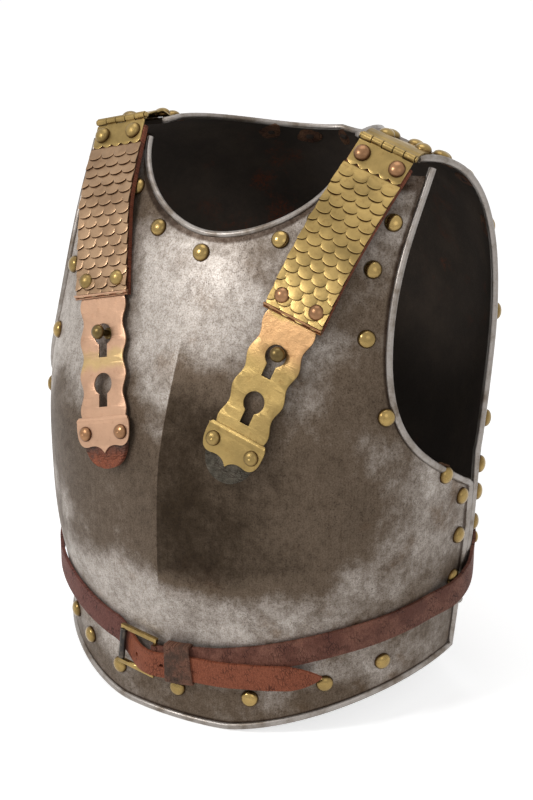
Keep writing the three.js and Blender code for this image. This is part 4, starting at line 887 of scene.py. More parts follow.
def mapped(shape):
    """Notes each point's place on the flat shape before it is bent."""
    for axis, layer in enumerate(float_layers(shape, "aside", "reach")):
        for vertex in shape.verts:
            vertex[layer] = vertex.co[axis]


def merged_copy(node):
    """A copy of a frame node's shape with its doubled corners merged and its flat faces whole."""
    shape = bmesh.new()
    shape.from_mesh(frame["nodes"][node].data)
    bmesh.ops.remove_doubles(shape, verts=shape.verts, dist=MERGE_DISTANCE)
    bmesh.ops.dissolve_limit(shape, angle_limit=math.radians(1.5), verts=shape.verts[:], edges=shape.edges[:])
    bmesh.ops.recalc_face_normals(shape, faces=shape.faces)
    return shape


def seat_of(node):
    """The matrix of a turned node's foot, with Z out of it, and the node's height."""
    shape = merged_copy(node)
    foot = max(shape.faces, key=lambda face: face.calc_area())
    centre, outward = foot.calc_center_median(), -foot.normal.copy()
    height = max((vertex.co - centre).dot(outward) for vertex in shape.verts)
    shape.free()
    return frame_along(centre, outward), height


def mesh_of(name, shape):
    """A mesh of the shape. The shape is freed."""
    mesh = bpy.data.meshes.new(name)
    shape.to_mesh(mesh)
    shape.free()
    return mesh


def linked(name, data):
    """A new object in the scene."""
    made = bpy.data.objects.new(name, data)
    bpy.context.scene.collection.objects.link(made)
    return made


def finished(name, shape, materials, body, replaced, sharp=40):
    """Makes a shape an object that rides on a body, in place of the nodes that it replaces."""
    for face in shape.faces:
        face.smooth = True
    mesh = mesh_of(name, shape)
    mesh.set_sharp_from_angle(angle=math.radians(sharp))
    for material in materials:
        mesh.materials.append(bpy.data.materials[FINISH_PREFIX + material])
    made = linked(name, mesh)
    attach(made, body)
    if replaced:
        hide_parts(*replaced)


def add_piece(whole, piece, matrix=Matrix()):
    """Adds a piece to a shape at a matrix. The piece is freed."""
    bmesh.ops.transform(piece, matrix=matrix, verts=piece.verts)
    mesh = mesh_of("piece", piece)
    whole.from_mesh(mesh)
    bpy.data.meshes.remove(mesh)


def joined_copies(template, matrices):
    """One shape holding a copy of the template at each matrix. The template is freed."""
    mesh = mesh_of("template", template)
    whole = bmesh.new()
    for matrix in matrices:
        start = len(whole.verts)
        whole.from_mesh(mesh)
        whole.verts.ensure_lookup_table()
        bmesh.ops.transform(whole, matrix=matrix, verts=whole.verts[start:])
    bpy.data.meshes.remove(mesh)
    return whole


def turned(profile, steps=28):
    """A turned shape about Z from (radius, height) pairs, which close on themselves or start and end on the axis."""
    shape = bmesh.new()
    vertices = [shape.verts.new((radius, 0, height)) for radius, height in profile]
    after = vertices[1:] + (vertices[:1] if profile[0][0] else [])
    edges = [shape.edges.new(pair) for pair in zip(vertices, after)]
    bmesh.ops.spin(shape, geom=vertices + edges, cent=(0, 0, 0), axis=(0, 0, 1), angle=2 * math.pi,
                   steps=steps, use_merge=True)
    bmesh.ops.remove_doubles(shape, verts=shape.verts, dist=MERGE_DISTANCE)
    bmesh.ops.recalc_face_normals(shape, faces=shape.faces)
    return shape


def dome(radius, rise, sink=0, dimple=0, steps=28):
    """A domed rivet head with a small flat shoulder at its foot, and painted shade that darkens it towards its foot.
    """
    profile = [(0, -sink), (radius * 0.97, -sink), (radius, -sink * 0.5), (radius * 0.99, rise * 0.16)]
    for step in range(1, 9):
        turn = step / 8 * RIGHT_ANGLE
        profile.append((radius * 0.97 * math.cos(turn), rise * lerp(0.16, 1, math.sin(turn))))
    if dimple:
        profile[-2] = (radius * 0.24, rise * 0.99)
        profile[-1] = (radius * 0.14, rise * 0.95)
        profile.append((0, rise - dimple))
    else:
        profile[-1] = (0, rise)
    shape = turned(profile, steps)
    grime, = float_layers(shape, "grime")
    for vertex in shape.verts:
        # Painted shade: darker towards the foot of the dome
        vertex[grime] = 1 - smooth(vertex.co.z, -rise * 0.1, rise * 0.86)
    return shape


def ring(bore, radius, length, edge=0.0003, steps=28):
    """A short tube about Z with softened ends."""
    half = length / 2
    return turned([(bore, -half), (radius - edge, -half), (radius, edge - half), (radius, half - edge),
                   (radius - edge, half), (bore, half)], steps)


def bevelled(shape, edges, width, segments=2):
    """Rounds edges off and gives the faces that this makes."""
    made = bmesh.ops.bevel(shape, geom=edges, offset=width, offset_type="OFFSET", segments=segments, profile=0.5,
                           affect="EDGES", material=-1, clamp_overlap=True)
    return made["faces"]


def cut(shape, place, direction, dist, clear=False):
    """Cuts a shape at a plane, and clears what is past the plane where asked."""
    bmesh.ops.bisect_plane(shape, geom=[*shape.verts, *shape.edges, *shape.faces], dist=dist, plane_co=place,
                           plane_no=direction, clear_outer=clear)


def sheeted(outlines, thickness, low, slices, bevel=0.0003, cut_index=0):
    """A flat plate between outlines, the first its edge and the others its holes, cut across at the slices."""
    shape = bmesh.new()
    edges = []
    for outline in outlines:
        vertices = [shape.verts.new((x, y, low)) for x, y in outline]
        edges += [shape.edges.new(pair) for pair in zip(vertices, vertices[1:] + vertices[:1])]
    bmesh.ops.triangle_fill(shape, use_beauty=True, use_dissolve=False, edges=edges, normal=(0, 0, 1))
    for reach in slices:
        cut(shape, (0, reach, 0), (0, 1, 0), CUT_DISTANCE)
    made = bmesh.ops.extrude_face_region(shape, geom=shape.faces[:])
    raised = [item for item in made["geom"] if isinstance(item, bmesh.types.BMVert)]
    bmesh.ops.translate(shape, verts=raised, vec=(0, 0, thickness))
    bmesh.ops.recalc_face_normals(shape, faces=shape.faces)
    if bevel:
        crisp = [edge for edge in shape.edges
                 if len(edge.link_faces) == 2 and edge.calc_face_angle() > math.radians(60)
                 and all(vertex.co.z > low + thickness / 2 for vertex in edge.verts)]
        for face in bevelled(shape, crisp, bevel):
            face.material_index = cut_index
    return shape


def span(start, end, step):
    """Places between start and end, about a step apart, without the ends."""
    count = max(1, round((end - start) / step))
    return [lerp(start, end, i / count) for i in range(1, count)]


class Signal:
    """One shader value; sums on it add the nodes that work them out."""

    def __init__(self, nodes, socket):
        self.nodes = nodes
        self.socket = socket

    def maths(self, operation, *values):
        return self.nodes.node("ShaderNodeMath", {"operation": operation}, dict(enumerate(values)))

    def __add__(self, other):
        return self.maths("ADD", self, other)

    def __sub__(self, other):
        return self.maths("SUBTRACT", self, other)

    def __rsub__(self, other):
        return self.maths("SUBTRACT", other, self)

    def __mul__(self, other):
        return self.maths("MULTIPLY", self, other)

    __radd__ = __add__
    __rmul__ = __mul__

    def highest(self, other):
        return self.maths("MAXIMUM", self, other)

    def between(self, low, high, start=0.0, end=1.0):
        """Reads the value as running from start at low to end at high, smoothly."""
        return self.nodes.node("ShaderNodeMapRange", {"interpolation_type": "SMOOTHSTEP"},
                               {0: self, 1: low, 2: high, 3: start, 4: end})


class Nodes:
    """The nodes of a material or a world under construction."""

    def __init__(self, owner):
        owner.use_nodes = True
        self.tree = owner.node_tree
        self.tree.nodes.clear()

    def node(self, kind, settings=None, inputs=None, output=0):
        made = self.tree.nodes.new(kind)
        for key, value in (settings or {}).items():
            setattr(made, key, value)
        for key, value in (inputs or {}).items():
            if isinstance(value, Signal):
                self.tree.links.new(value.socket, made.inputs[key])
            elif hasattr(made.inputs[key].default_value, "__len__") and not hasattr(value, "__len__"):
                made.inputs[key].default_value = [value] * 3
            elif hasattr(value, "__len__") and len(made.inputs[key].default_value) == 4:
                made.inputs[key].default_value = (*value, 1)
            else:
                made.inputs[key].default_value = value
        return Signal(self, made.outputs[output] if made.outputs else None)

    def seen(self):
        """1 for a camera, glossy or transmission ray."""
        camera, glossy, through = (self.node("ShaderNodeLightPath", output=f"Is {ray} Ray")
                                   for ray in ("Camera", "Glossy", "Transmission"))
        return camera.highest(glossy).highest(through)


class Finish(Nodes):
    """A material for the pieces, round one shader."""

    def __init__(self, name, metallic, specular=0.5):
        super().__init__(bpy.data.materials.new(FINISH_PREFIX + name))
        shader = self.node("ShaderNodeBsdfPrincipled", {}, {"Metallic": metallic, "Specular IOR Level": specular})
        self.node("ShaderNodeOutputMaterial", {}, {0: shader})
        self.shader = shader.socket.node

    def place(self, scale=(1, 1, 1)):
        """Object coordinates, stretched by the scale."""
        coordinates = self.node("ShaderNodeTexCoord", output="Object")
        return self.node("ShaderNodeMapping", {}, {"Vector": coordinates, "Scale": scale})

    def axis(self, index):
        """One of the object coordinates."""
        return self.node("ShaderNodeSeparateXYZ", {}, {"Vector": self.place()}, output=index)

    def flat(self, scale=(1, 1, 1)):
        """The place on a bent piece before it was bent: across it, then along it."""
        place = self.node("ShaderNodeCombineXYZ", {}, {"X": self.attribute("aside"), "Y": self.attribute("reach")})
        return self.node("ShaderNodeMapping", {}, {"Vector": place, "Scale": scale})

    def attribute(self, name):
        return self.node("ShaderNodeAttribute", {"attribute_name": name}, output="Fac")

    def noise(self, scale, detail=3.0, roughness=0.55, stretch=(1, 1, 1), flat=False):
        place = self.flat(stretch) if flat else self.place(stretch)
        return self.node("ShaderNodeTexNoise", {}, {"Vector": place, "Scale": scale,
                                                    "Detail": detail, "Roughness": roughness})

    def cells(self, scale, stretch=(1, 1, 1), flat=False, feature="F1"):
        place = self.flat(stretch) if flat else self.place(stretch)
        return self.node("ShaderNodeTexVoronoi", {"feature": feature}, {"Vector": place, "Scale": scale})

    def mixed(self, factor, low, high):
        """A colour between two colours."""
        return self.node("ShaderNodeMix", {"data_type": "RGBA"}, {0: factor, 6: low, 7: high}, output=2)

    def tinted(self, factor, base, tint):
        """The base multiplied by the tint, as far as the factor says."""
        return self.node("ShaderNodeMix", {"data_type": "RGBA", "blend_type": "MULTIPLY"},
                         {0: factor, 6: base, 7: tint}, output=2)

    def give(self, socket, signal):
        self.tree.links.new(signal.socket, self.shader.inputs[socket])

    def raise_surface(self, height, distance, strength=1.0):
        bump = self.node("ShaderNodeBump", {}, {"Height": height, "Distance": distance, "Strength": strength})
        self.give("Normal", bump)


def darker(tone, share):
    return tuple(part * share for part in tone)


def steel_finish(colours):
    """Worn steel: a bright ground, brown patina with painted shade and painted reflection where the shade attribute
    says, painted shade on the wearer's left side of the ridge, soiling and painted shade in the groove beside the
    rims, pits.
    """
    finish = Finish("steel", 0.5, 0.2)
    clouds = finish.noise(8, 5, 0.62)
    blotches = finish.noise(30, 5, 0.65)
    mottle = finish.noise(150, 4, 0.7)
    grain = finish.noise(900, 2, 0.6)
    scratches = finish.noise(620, 4, 0.7, stretch=(1, 1, 0.06))
    # Painted shade on the wearer's left side of the ridge, with a crisp edge along the crease
    ridge = finish.axis(0).between(-0.0004, 0.0007) * finish.attribute("ridge")
    shade = finish.attribute("shade")
    shade = shade + (0.92 - shade) * ridge
    shade = shade + (clouds - 0.5) * 0.5 + (blotches - 0.5) * 0.4 + (mottle - 0.5) * 0.3
    worn = finish.mixed(shade.between(0.0, 0.55), tuple(colours.steel), tuple(colours.patina))
    worn = finish.mixed(shade.between(0.5, 1.05), worn, tuple(colours.deep_patina))
    stains = blotches.between(0.53, 0.68) * finish.noise(12, 3, 0.5).between(0.46, 0.62)
    stained = finish.tinted(stains * 0.55, worn, (0.62, 0.45, 0.29))
    # Soiling and painted shade in the groove beside the rim beads
    dirt_and_shade = finish.attribute("rim").between(0.0082, 0.0063) * (0.6 + mottle * 0.6)
    stained = finish.tinted(dirt_and_shade, stained, (0.2, 0.14, 0.1))
    pits = finish.cells(430).between(0.22, 0.1) * finish.noise(34, 3, 0.6).between(0.44, 0.6)
    specks = finish.noise(620, 2, 0.5).between(0.6, 0.7)
    grained = finish.tinted(grain.between(0.38, 0.66) * 0.6 + mottle.between(0.4, 0.7) * 0.25, stained,
                            (0.5, 0.46, 0.42))
    pitted = finish.tinted((pits * 0.7).highest(specks * 0.45), grained, (0.24, 0.18, 0.14))
    finish.give("Base Color", finish.tinted(scratches.between(0.45, 0.68) * 0.45, pitted, (0.66, 0.6, 0.54)))
    finish.give("Roughness", 0.4 + shade * 0.08 + mottle * 0.14 + pits * 0.2)
    finish.raise_surface(grain * 0.25 + scratches * 0.15 + mottle * 0.5 - pits, 0.00022, 0.7)


def rim_finish():
    """Polished edge steel with brown in cloudy patches."""
    finish = Finish("rim_steel", 0.9)
    clouds = finish.noise(50, 4, 0.6)
    grain = finish.noise(700, 3, 0.6)
    tone = finish.mixed(clouds.between(0.42, 0.72), (0.33, 0.3, 0.275), (0.15, 0.118, 0.09))
    finish.give("Base Color", finish.tinted(grain.between(0.5, 0.7) * 0.4, tone, (0.6, 0.52, 0.45)))
    finish.give("Roughness", 0.28 + clouds * 0.2)
    finish.raise_surface(grain + clouds, 0.00018, 0.5)


def dark_steel_finish():
    """The buckle's blackened roller, with lighter rubbed patches."""
    finish = Finish("dark_steel", 0.85)
    clouds = finish.noise(180, 4, 0.65)
    finish.give("Base Color", finish.mixed(clouds.between(0.4, 0.75), (0.04, 0.036, 0.034), (0.14, 0.115, 0.09)))
    finish.give("Roughness", 0.3 + clouds * 0.3)
    finish.raise_surface(clouds, 0.00015, 0.5)


def inside_finish(colours):
    """Blackened inner face with rust."""
    finish = Finish("inside_steel", 0, 0.15)
    clouds = finish.noise(14, 6, 0.7)
    grain = finish.noise(520, 4, 0.7)
    rust = finish.noise(26, 5, 0.75).between(0.54, 0.7) * finish.noise(6, 2, 0.5).between(0.46, 0.6)
    ground = finish.mixed(clouds.between(0.35, 0.75), tuple(colours.inside), (0.062, 0.046, 0.035))
    finish.give("Base Color", finish.mixed(rust * grain.between(0.35, 0.6), ground, tuple(colours.rust)))
    finish.give("Roughness", 0.6 + grain * 0.3)
    finish.raise_surface(grain + clouds, 0.0005, 0.6)


def brass_finish(name, tone, tarnish, spots=0.4, roughness=0.3, dent=0.0002, tints=()):
    """A hand-worked copper alloy: tone over tarnish, with soiling and painted shade in its low places, a painted
    highlight along its edges, and small stains and tints.

    A tint is a colour, the reaches between which it comes in, and those between which it goes out.
    """
    finish = Finish(name, 0.92)
    clouds = finish.noise(45, 5, 0.6)
    stains = finish.noise(170, 5, 0.75)
    grain = finish.noise(1100, 2, 0.6)
    edges, grime = finish.attribute("edge"), finish.attribute("grime")
    ground = finish.mixed(clouds.between(0.3, 0.7), tone, tarnish)
    for tint, rise, fall in tints:
        where = finish.attribute("reach") + (clouds - 0.5) * 0.03
        ground = finish.mixed(where.between(*rise) * where.between(*fall[::-1]), ground, tint)
    stained = finish.tinted(stains.between(0.52, 0.72) * spots, ground, (0.5, 0.4, 0.3))
    # Painted highlight along the lobes' lower edges
    lit = finish.mixed(edges * 0.5, stained, tuple(min(1, part * 1.45) for part in tone))
    # Painted shade, with soiling, in the low places and under the rows above
    finish.give("Base Color", finish.tinted(grime * (0.5 + stains), lit, (0.16, 0.09, 0.05)))
    finish.give("Roughness", roughness + clouds * 0.12 + stains.between(0.5, 0.75) * 0.2 + grime * 0.2)
    finish.raise_surface(clouds * 3 + grain * 0.4, dent, 0.5)


def leather_finish(name, tone, worn, amount, roughness=0.5, flat=True, wear_from=None):
    """Cracked leather, worn lighter where its surface has gone; wear can come in along the piece."""
    finish = Finish(name, 0, 0.3)
    stretch = (1, 2.6, 1) if flat else (1, 1, 1)
    clouds = finish.noise(42, 5, 0.65, flat=flat)
    creases = finish.noise(330, 4, 0.7, stretch=stretch, flat=flat)
    bent = creases.between(0.3, 0.7)
    cracks = finish.cells(190, stretch, flat, "DISTANCE_TO_EDGE").between(0.1, 0.02)
    fine = finish.cells(620, stretch, flat, "DISTANCE_TO_EDGE").between(0.12, 0.03)
    pores = finish.noise(1500, 2, 0.6)
    broken = finish.noise(70, 3, 0.6, flat=flat).between(0.42, 0.6)
    wear = clouds.between(0.66 - amount * 0.45, 0.84 - amount * 0.45)
    if wear_from:
        wear = wear * (finish.attribute("reach") + (clouds - 0.5) * 0.02).between(*wear_from)
    ground = finish.mixed(wear, tone, worn)
    ground = finish.tinted(bent * 0.55, ground, (0.5, 0.4, 0.34))
    gaps = (cracks * broken).highest(fine * 0.55)
    finish.give("Base Color", finish.tinted(gaps * 0.85, ground, (0.16, 0.1, 0.08)))
    finish.give("Roughness", roughness + creases * 0.25 + gaps * 0.1)
    finish.raise_surface(pores * 0.25 - creases * 0.5 - gaps, 0.0004, 0.8)


class CuirassOperator:
    """What the operators share."""

    bl_options = {"REGISTER", "UNDO"}

    @staticmethod
    def joint(name):
        return next(joint for joint in frame["joints"] if joint["name"] == name)

    def plates(self):
        """The breastplate and the backplate, set where the left hinge says."""
        scene = bpy.context.scene
        ahead = scene.cuirass_plates.shoulder_overhang + scene.cuirass_straps.hinge_ahead
        shift = self.joint("strap_hinge_left")["pos_m"][1] + ahead
        return [plate(scene.cuirass_plates, shift) for plate in (Breastplate, Backplate)]

    def straps(self):
        chest, _ = self.plates()
        return [Strap(bpy.context.scene.cuirass_straps, chest, self.joint(f"strap_hinge_{side}"))
                for side in ("left", "right")]


class CUIRASS_OT_finishes(CuirassOperator, bpy.types.Operator):
    """Makes the metals and leathers"""

    bl_idname = "cuirass.finishes"
    bl_label = "Finishes"

    def execute(self, context):
        colours = context.scene.cuirass_finishes
        brass, red_brass, copper = (tuple(getattr(colours, name)) for name in ("brass", "red_brass", "copper"))
        steel_finish(colours)
        rim_finish()
        inside_finish(colours)
        dark_steel_finish()
        brass_finish("brass", brass, darker(brass, 0.6))
        brass_finish("brass_plate", brass, darker(brass, 0.72), dent=0.0004,
                     tints=[((0.45, 0.26, 0.12), (0.14, 0.146), (0.16, 0.19))])
        brass_finish("brass_cut", (0.62, 0.45, 0.18), brass, 0.2, 0.22)
        brass_finish("rivet_brass", tuple(colours.rivet_brass), darker(colours.rivet_brass, 0.6), roughness=0.15)
        brass_finish("stud_brass", (0.2, 0.14, 0.05), (0.09, 0.06, 0.025), roughness=0.26)
        brass_finish("red_brass", red_brass, darker(red_brass, 0.78), spots=0.25)
        brass_finish("red_brass_plate", red_brass, darker(red_brass, 0.82), spots=0.3, dent=0.0004,
                     tints=[((0.52, 0.36, 0.17), (0.182, 0.193), (0.194, 0.204))])
        brass_finish("red_brass_cut", (0.72, 0.5, 0.36), red_brass, 0.15, 0.22)
        brass_finish("tan_brass", (0.42, 0.275, 0.165), (0.27, 0.17, 0.1))
        brass_finish("copper", copper, darker(copper, 0.6), roughness=0.24)
        red, worn, dark = (tuple(getattr(colours, name)) for name in ("red_leather", "worn_leather", "dark_leather"))
        leather_finish("red_leather", darker(red, 1.25), darker(worn, 0.85), 0.45)
        leather_finish("worn_leather", darker(red, 1.2), worn, 0.75)
        leather_finish("tip_leather", (0.085, 0.07, 0.06), worn, 0.8, wear_from=(0.254, 0.27))
        leather_finish("belt_leather", (0.24, 0.09, 0.07), worn, 0.95, wear_from=(-0.045, -0.036))
        leather_finish("brown_leather", (0.19, 0.07, 0.046), (0.32, 0.14, 0.095), 0.55)
        leather_finish("dark_leather", dark, (0.1, 0.045, 0.02), 0.3)
        leather_finish("rough_leather", (0.085, 0.075, 0.055), (0.2, 0.18, 0.14), 0.6, 0.7)
        leather_finish("keeper_leather", (0.1, 0.06, 0.042), (0.29, 0.14, 0.09), 0.6, 0.6)
        leather_finish("torn_leather", (0.09, 0.04, 0.02), (0.2, 0.1, 0.05), 0.5, 0.7, flat=False)
        return {"FINISHED"}


class CUIRASS_OT_plates(CuirassOperator, bpy.types.Operator):
    """Builds the breastplate and the backplate as smooth sheets"""

    bl_idname = "cuirass.plates"
    bl_label = "Plates"

    def sheet(self, plate):
        sizes = plate.sizes
        shape = bmesh.new()
        bmesh.ops.create_grid(shape, x_segments=2 * sizes.columns, y_segments=sizes.rows, size=1)
        shade, ridge, rim = float_layers(shape, "shade", "ridge", "rim")
        foot, top = plate.bead_ups()
        for vertex in shape.verts:
            up = (vertex.co.y + 1) / 2
            across = vertex.co.x * plate.bead_across(up)
            up = lerp(foot, top, up)
            vertex.co = plate.place(across, up)
            vertex[rim] = plate.edge_distance(across, up)
            vertex[shade], vertex[ridge] = plate.patina(vertex.co)
        bmesh.ops.remove_doubles(shape, verts=shape.verts, dist=FINE_MERGE_DISTANCE)
        if plate.facing < 0:
            bmesh.ops.reverse_faces(shape, faces=shape.faces[:])
        shape.normal_update()
        outer = set(shape.faces)
        bmesh.ops.solidify(shape, geom=shape.faces[:], thickness=sizes.thickness)
        for face in shape.faces:
            face.material_index = 0 if face in outer else 1
        finished(f"{plate.name}_sheet", shape, ("steel", "inside_steel"), "plates", (plate.name,))

    def execute(self, context):
        for plate in self.plates():
            self.sheet(plate)
        return {"FINISHED"}


class CUIRASS_OT_rims(CuirassOperator, bpy.types.Operator):
    """Rolls the rims of both plates"""

    bl_idname = "cuirass.rims"
    bl_label = "Rims"
    steps = 90
    # Of the plate's thickness, from its outer face in to a bead's middle
    depth_share = 0.15

    def bead(self, plate, name, shares, radius):
        curve = bpy.data.curves.new(name, "CURVE")
        curve.dimensions = "3D"
        curve.bevel_depth = radius
        curve.bevel_resolution = 5
        curve.use_fill_caps = True
        line = curve.splines.new("POLY")
        line.points.add(len(shares) - 1)
        for point, (across, up) in zip(line.points, shares):
            angle, rise = plate.inside(abs(across), up, sign(across))
            outward = plate.outward(sign(across) * angle, rise)
            place = plate.place(across, up) - outward * plate.sizes.thickness * self.depth_share
            point.co = (*place, 1)
        made = linked(name, curve)
        mesh = bpy.data.meshes.new_from_object(made)
        bpy.data.objects.remove(made)
        shape = bmesh.new()
        shape.from_mesh(mesh)
        bpy.data.meshes.remove(mesh)
        bmesh.ops.remove_doubles(shape, verts=shape.verts, dist=FINE_MERGE_DISTANCE)
        bmesh.ops.recalc_face_normals(shape, faces=shape.faces)
        finished(name, shape, ("rim_steel",), "plates", (), sharp=70)

    def execute(self, context):
        for plate in self.plates():
            sizes = plate.sizes
            foot, top = plate.bead_ups()
            ups = [lerp(foot, 1, i / self.steps) for i in range(self.steps + 1)]
            edge = [plate.bead_across(up) for up in ups]
            left = [(across, up) for across, up in zip(edge, ups)]
            right = [(-across, up) for across, up in left]
            along = [(lerp(edge[0], -edge[0], i / self.steps), foot) for i in range(1, self.steps)]
            self.bead(plate, f"{plate.name}_rim", left[::-1] + along + right, sizes.rim_radius)
            reach = plate.neck_edge_share
            neck = [(lerp(-reach, reach, i / self.steps), top) for i in range(self.steps + 1)]
            self.bead(plate, f"{plate.name}_neck_rim", neck, sizes.neck_rim_radius)
        return {"FINISHED"}


class CUIRASS_OT_edge_rivets(CuirassOperator, bpy.types.Operator):
    """Sets the domed rivets round both plates, with their clinched ends inside"""

    bl_idname = "cuirass.edge_rivets"
    bl_label = "Edge rivets"
    head_sink = 0.0008
    clinch_rise = 0.0016
    clinch_dents = 0.0008
    scrap_thickness = 0.0014
    sink = 0.0004
    half_points = 9

    def scrap(self, radius, number):
        """A ragged round of leather."""
        torn = []
        for i in range(2 * self.half_points):
            turn = i / self.half_points * math.pi
            ragged = noise.noise(Vector((math.cos(turn) * 1.4, math.sin(turn) * 1.4, number * 3.7)))
            reach = radius * (1 + 0.45 * ragged)
            torn.append((reach * math.cos(turn), reach * math.sin(turn)))
        return sheeted([torn], self.scrap_thickness, -self.sink, ())

    def execute(self, context):
        for plate in self.plates():
            sizes, name = plate.sizes, plate.name
            seats = plate.rivets()
            shape = joined_copies(dome(sizes.rivet_radius, sizes.rivet_rise, self.head_sink),
                                  [frame_along(*seat) for seat in seats])
            finished(f"{name}_rivets", shape, ("rivet_brass",), "plates", ())
            ends = []
            for number, (place, outward) in enumerate(seats):
                inner = frame_along(place - outward * (sizes.thickness - 0.0002), -outward)
                ends.append(inner @ Matrix.Rotation(2.4 * number, 4, "Z"))
            shape = joined_copies(dome(sizes.clinch_radius, self.clinch_rise, self.sink, steps=9), ends)
            for vertex in shape.verts:
                vertex.co += noise.noise_vector(vertex.co * 400) * self.clinch_dents
            finished(f"{name}_clinches", shape, ("inside_steel",), "plates", (), sharp=25)
            scraps = bmesh.new()
            for number, end in enumerate(ends):
                add_piece(scraps, self.scrap(sizes.scrap_radius, number), end)
            finished(f"{name}_scraps", scraps, ("torn_leather",), "plates", (), sharp=50)
        return {"FINISHED"}


class CUIRASS_OT_scales(CuirassOperator, bpy.types.Operator):
    """Lays the rows of scales and the folded bar on both straps"""

    bl_idname = "cuirass.scales"
    bl_label = "Scales"
    steps = 10
    # How far the lower edges stray, how far the soiling and painted shade under the row above and the painted
    # highlight along the lower edge reach, and what the leaf or bar covers
    stray = 0.0006
    dirt_reach = 0.0011
    bright_reach = 0.0006
    covered = 0.0004
    # The bar's fold from above to below: share of its depth, then share of its height
    fold_shares = [(-1, 0), (-0.96, 0.5), (-0.8, 0.86), (-0.5, 1), (-0.15, 0.94), (0.2, 0.6), (0.3, 0.3),
                   (0.42, 0.42), (0.7, 0.5), (0.95, 0.38), (1, 0)]
    fold_middle_share = 0.6
    fold_depth_share = 0.62

    @staticmethod
    def crown(thickness, aside, share):
        """Height of a scale's domed face above its foot."""
        return thickness * (1 + 0.22 * (1 - aside ** 2) - 0.25 * smooth(share, 0.9, 1))

    def row(self, strap, row, start, reach, hidden):
        """One row of scales: a strip with a scalloped lower edge, soiling and painted shade along the edge of the row
        above, a painted highlight along its lower edge and painted shade at the foot of its walls.
        """
        sizes = strap.sizes
        wide = sizes.scale_width / sizes.scale_lobes
        depth = wide * sizes.scale_depth
        shape = bmesh.new()
        edge, grime = float_layers(shape, "edge", "grime")
        lean = sizes.scale_rise / self.pitch(sizes)
        columns = []
        for index in range(sizes.scale_lobes + row % 2):
            middle = (index + 0.5 * (1 - row % 2)) * wide - sizes.scale_width / 2
            uneven = noise.noise(Vector((index * 1.7, row * 2.3, strap.side * 3.1)))
            for step in range(self.steps + 1):
                aside = math.sin((step / self.steps - 0.5) * math.pi)
                x = middle + aside * wide / 2
                if abs(x) > sizes.scale_width / 2 + MERGE_DISTANCE or (step == 0 and columns):
                    continue
                round_down = math.sqrt(max(0, 1 - aside * aside))
                round_above = math.sqrt(max(0, 1 - (1 - abs(aside)) ** 2))
                foot = reach - depth * (1 - round_down) + uneven * self.stray * round_down
                above = hidden - depth * (1 - round_above) if row else self.covered
                # Painted shade with soiling just below the row above; a painted highlight at the lower edge
                rows = [(0, 0, 1), (above, 0, 1), (above + self.dirt_reach, 0, 0), ((above + foot) / 2, 0, 0),
                        (foot - self.bright_reach, 0, 0), (foot, 1, 0)]
                column = []
                for y, bright, dirt_and_shade in rows:
                    rise = y * lean * (1 + uneven * 0.3) + self.crown(sizes.scale, aside, y / foot)
                    vertex = shape.verts.new((x, start + max(y, 0), strap.scale_low + rise))
                    vertex[edge], vertex[grime] = bright, dirt_and_shade
                    column.append(vertex)
                columns.append(column)
        for left, right in zip(columns, columns[1:]):
            for i in range(len(left) - 1):
                shape.faces.new((left[i], right[i], right[i + 1], left[i + 1]))
        rim = [item for item in shape.edges if item.is_boundary]
        made = bmesh.ops.extrude_edge_only(shape, edges=rim)
        for item in made["geom"]:
            if isinstance(item, bmesh.types.BMVert):
                item.co.z -= sizes.scale
                # Painted shade at the foot of the walls under the lower edge
                item[grime] = 1
        bmesh.ops.contextual_create(shape, geom=[item for item in shape.edges if item.is_boundary])
        bmesh.ops.recalc_face_normals(shape, faces=shape.faces)
        return shape

    @staticmethod
    def pitch(sizes):
        return (sizes.bar_reach - sizes.bar_depth / 2 - sizes.leaf_length) / sizes.scale_rows

    def rows(self, strap):
        sizes = strap.sizes
        pitch = self.pitch(sizes)
        tuck = 0.25 * pitch
        whole = bmesh.new()
        for row in range(sizes.scale_rows):
            start = sizes.leaf_length + strap.chest.sizes.seat_gap + row * pitch - tuck * (row > 0)
            end = sizes.leaf_length + (row + 1) * pitch + sizes.scale_overlap
            reach = min(end, sizes.bar_reach - self.covered) - start
            add_piece(whole, self.row(strap, row, start, reach, tuck + sizes.scale_overlap))
        return whole

    def execute(self, context):
        for strap in self.straps():
            strap.finish("scales", strap.lay(self.rows(strap)), (strap.either("brass", "tan_brass"),), "brass",
                         "scales", sharp=30)
            strap.finish("bar", strap.lay(self.bar(strap)), (strap.either("copper", "red_brass"),), "brass", sharp=50)
        return {"FINISHED"}

    def bar(self, strap):
        """The folded bar, with a low lip below it, and painted shade on its low parts."""
        sizes = strap.sizes
        half = sizes.scale_width / 2 + sizes.bar_depth / 4
        shape = bmesh.new()
        grime, = float_layers(shape, "grime")
        ends = []
        for side in (-1, 1):
            line = []
            for along, high in self.fold_shares:
                y = sizes.bar_reach + (along - self.fold_middle_share) * sizes.bar_depth * self.fold_depth_share
                line.append(shape.verts.new((side * half, y, strap.scale_low + high * sizes.bar_height)))
                # Painted shade: darker towards the bar's foot
                line[-1][grime] = 1 - smooth(high, 0.2, 0.5)
            ends.append(line)
        count = len(self.fold_shares)
        for i in range(count):
            j = (i + 1) % count
            shape.faces.new((ends[0][i], ends[1][i], ends[1][j], ends[0][j]))
        for line in ends:
            shape.faces.new(line)
        bmesh.ops.recalc_face_normals(shape, faces=shape.faces)
        return shape


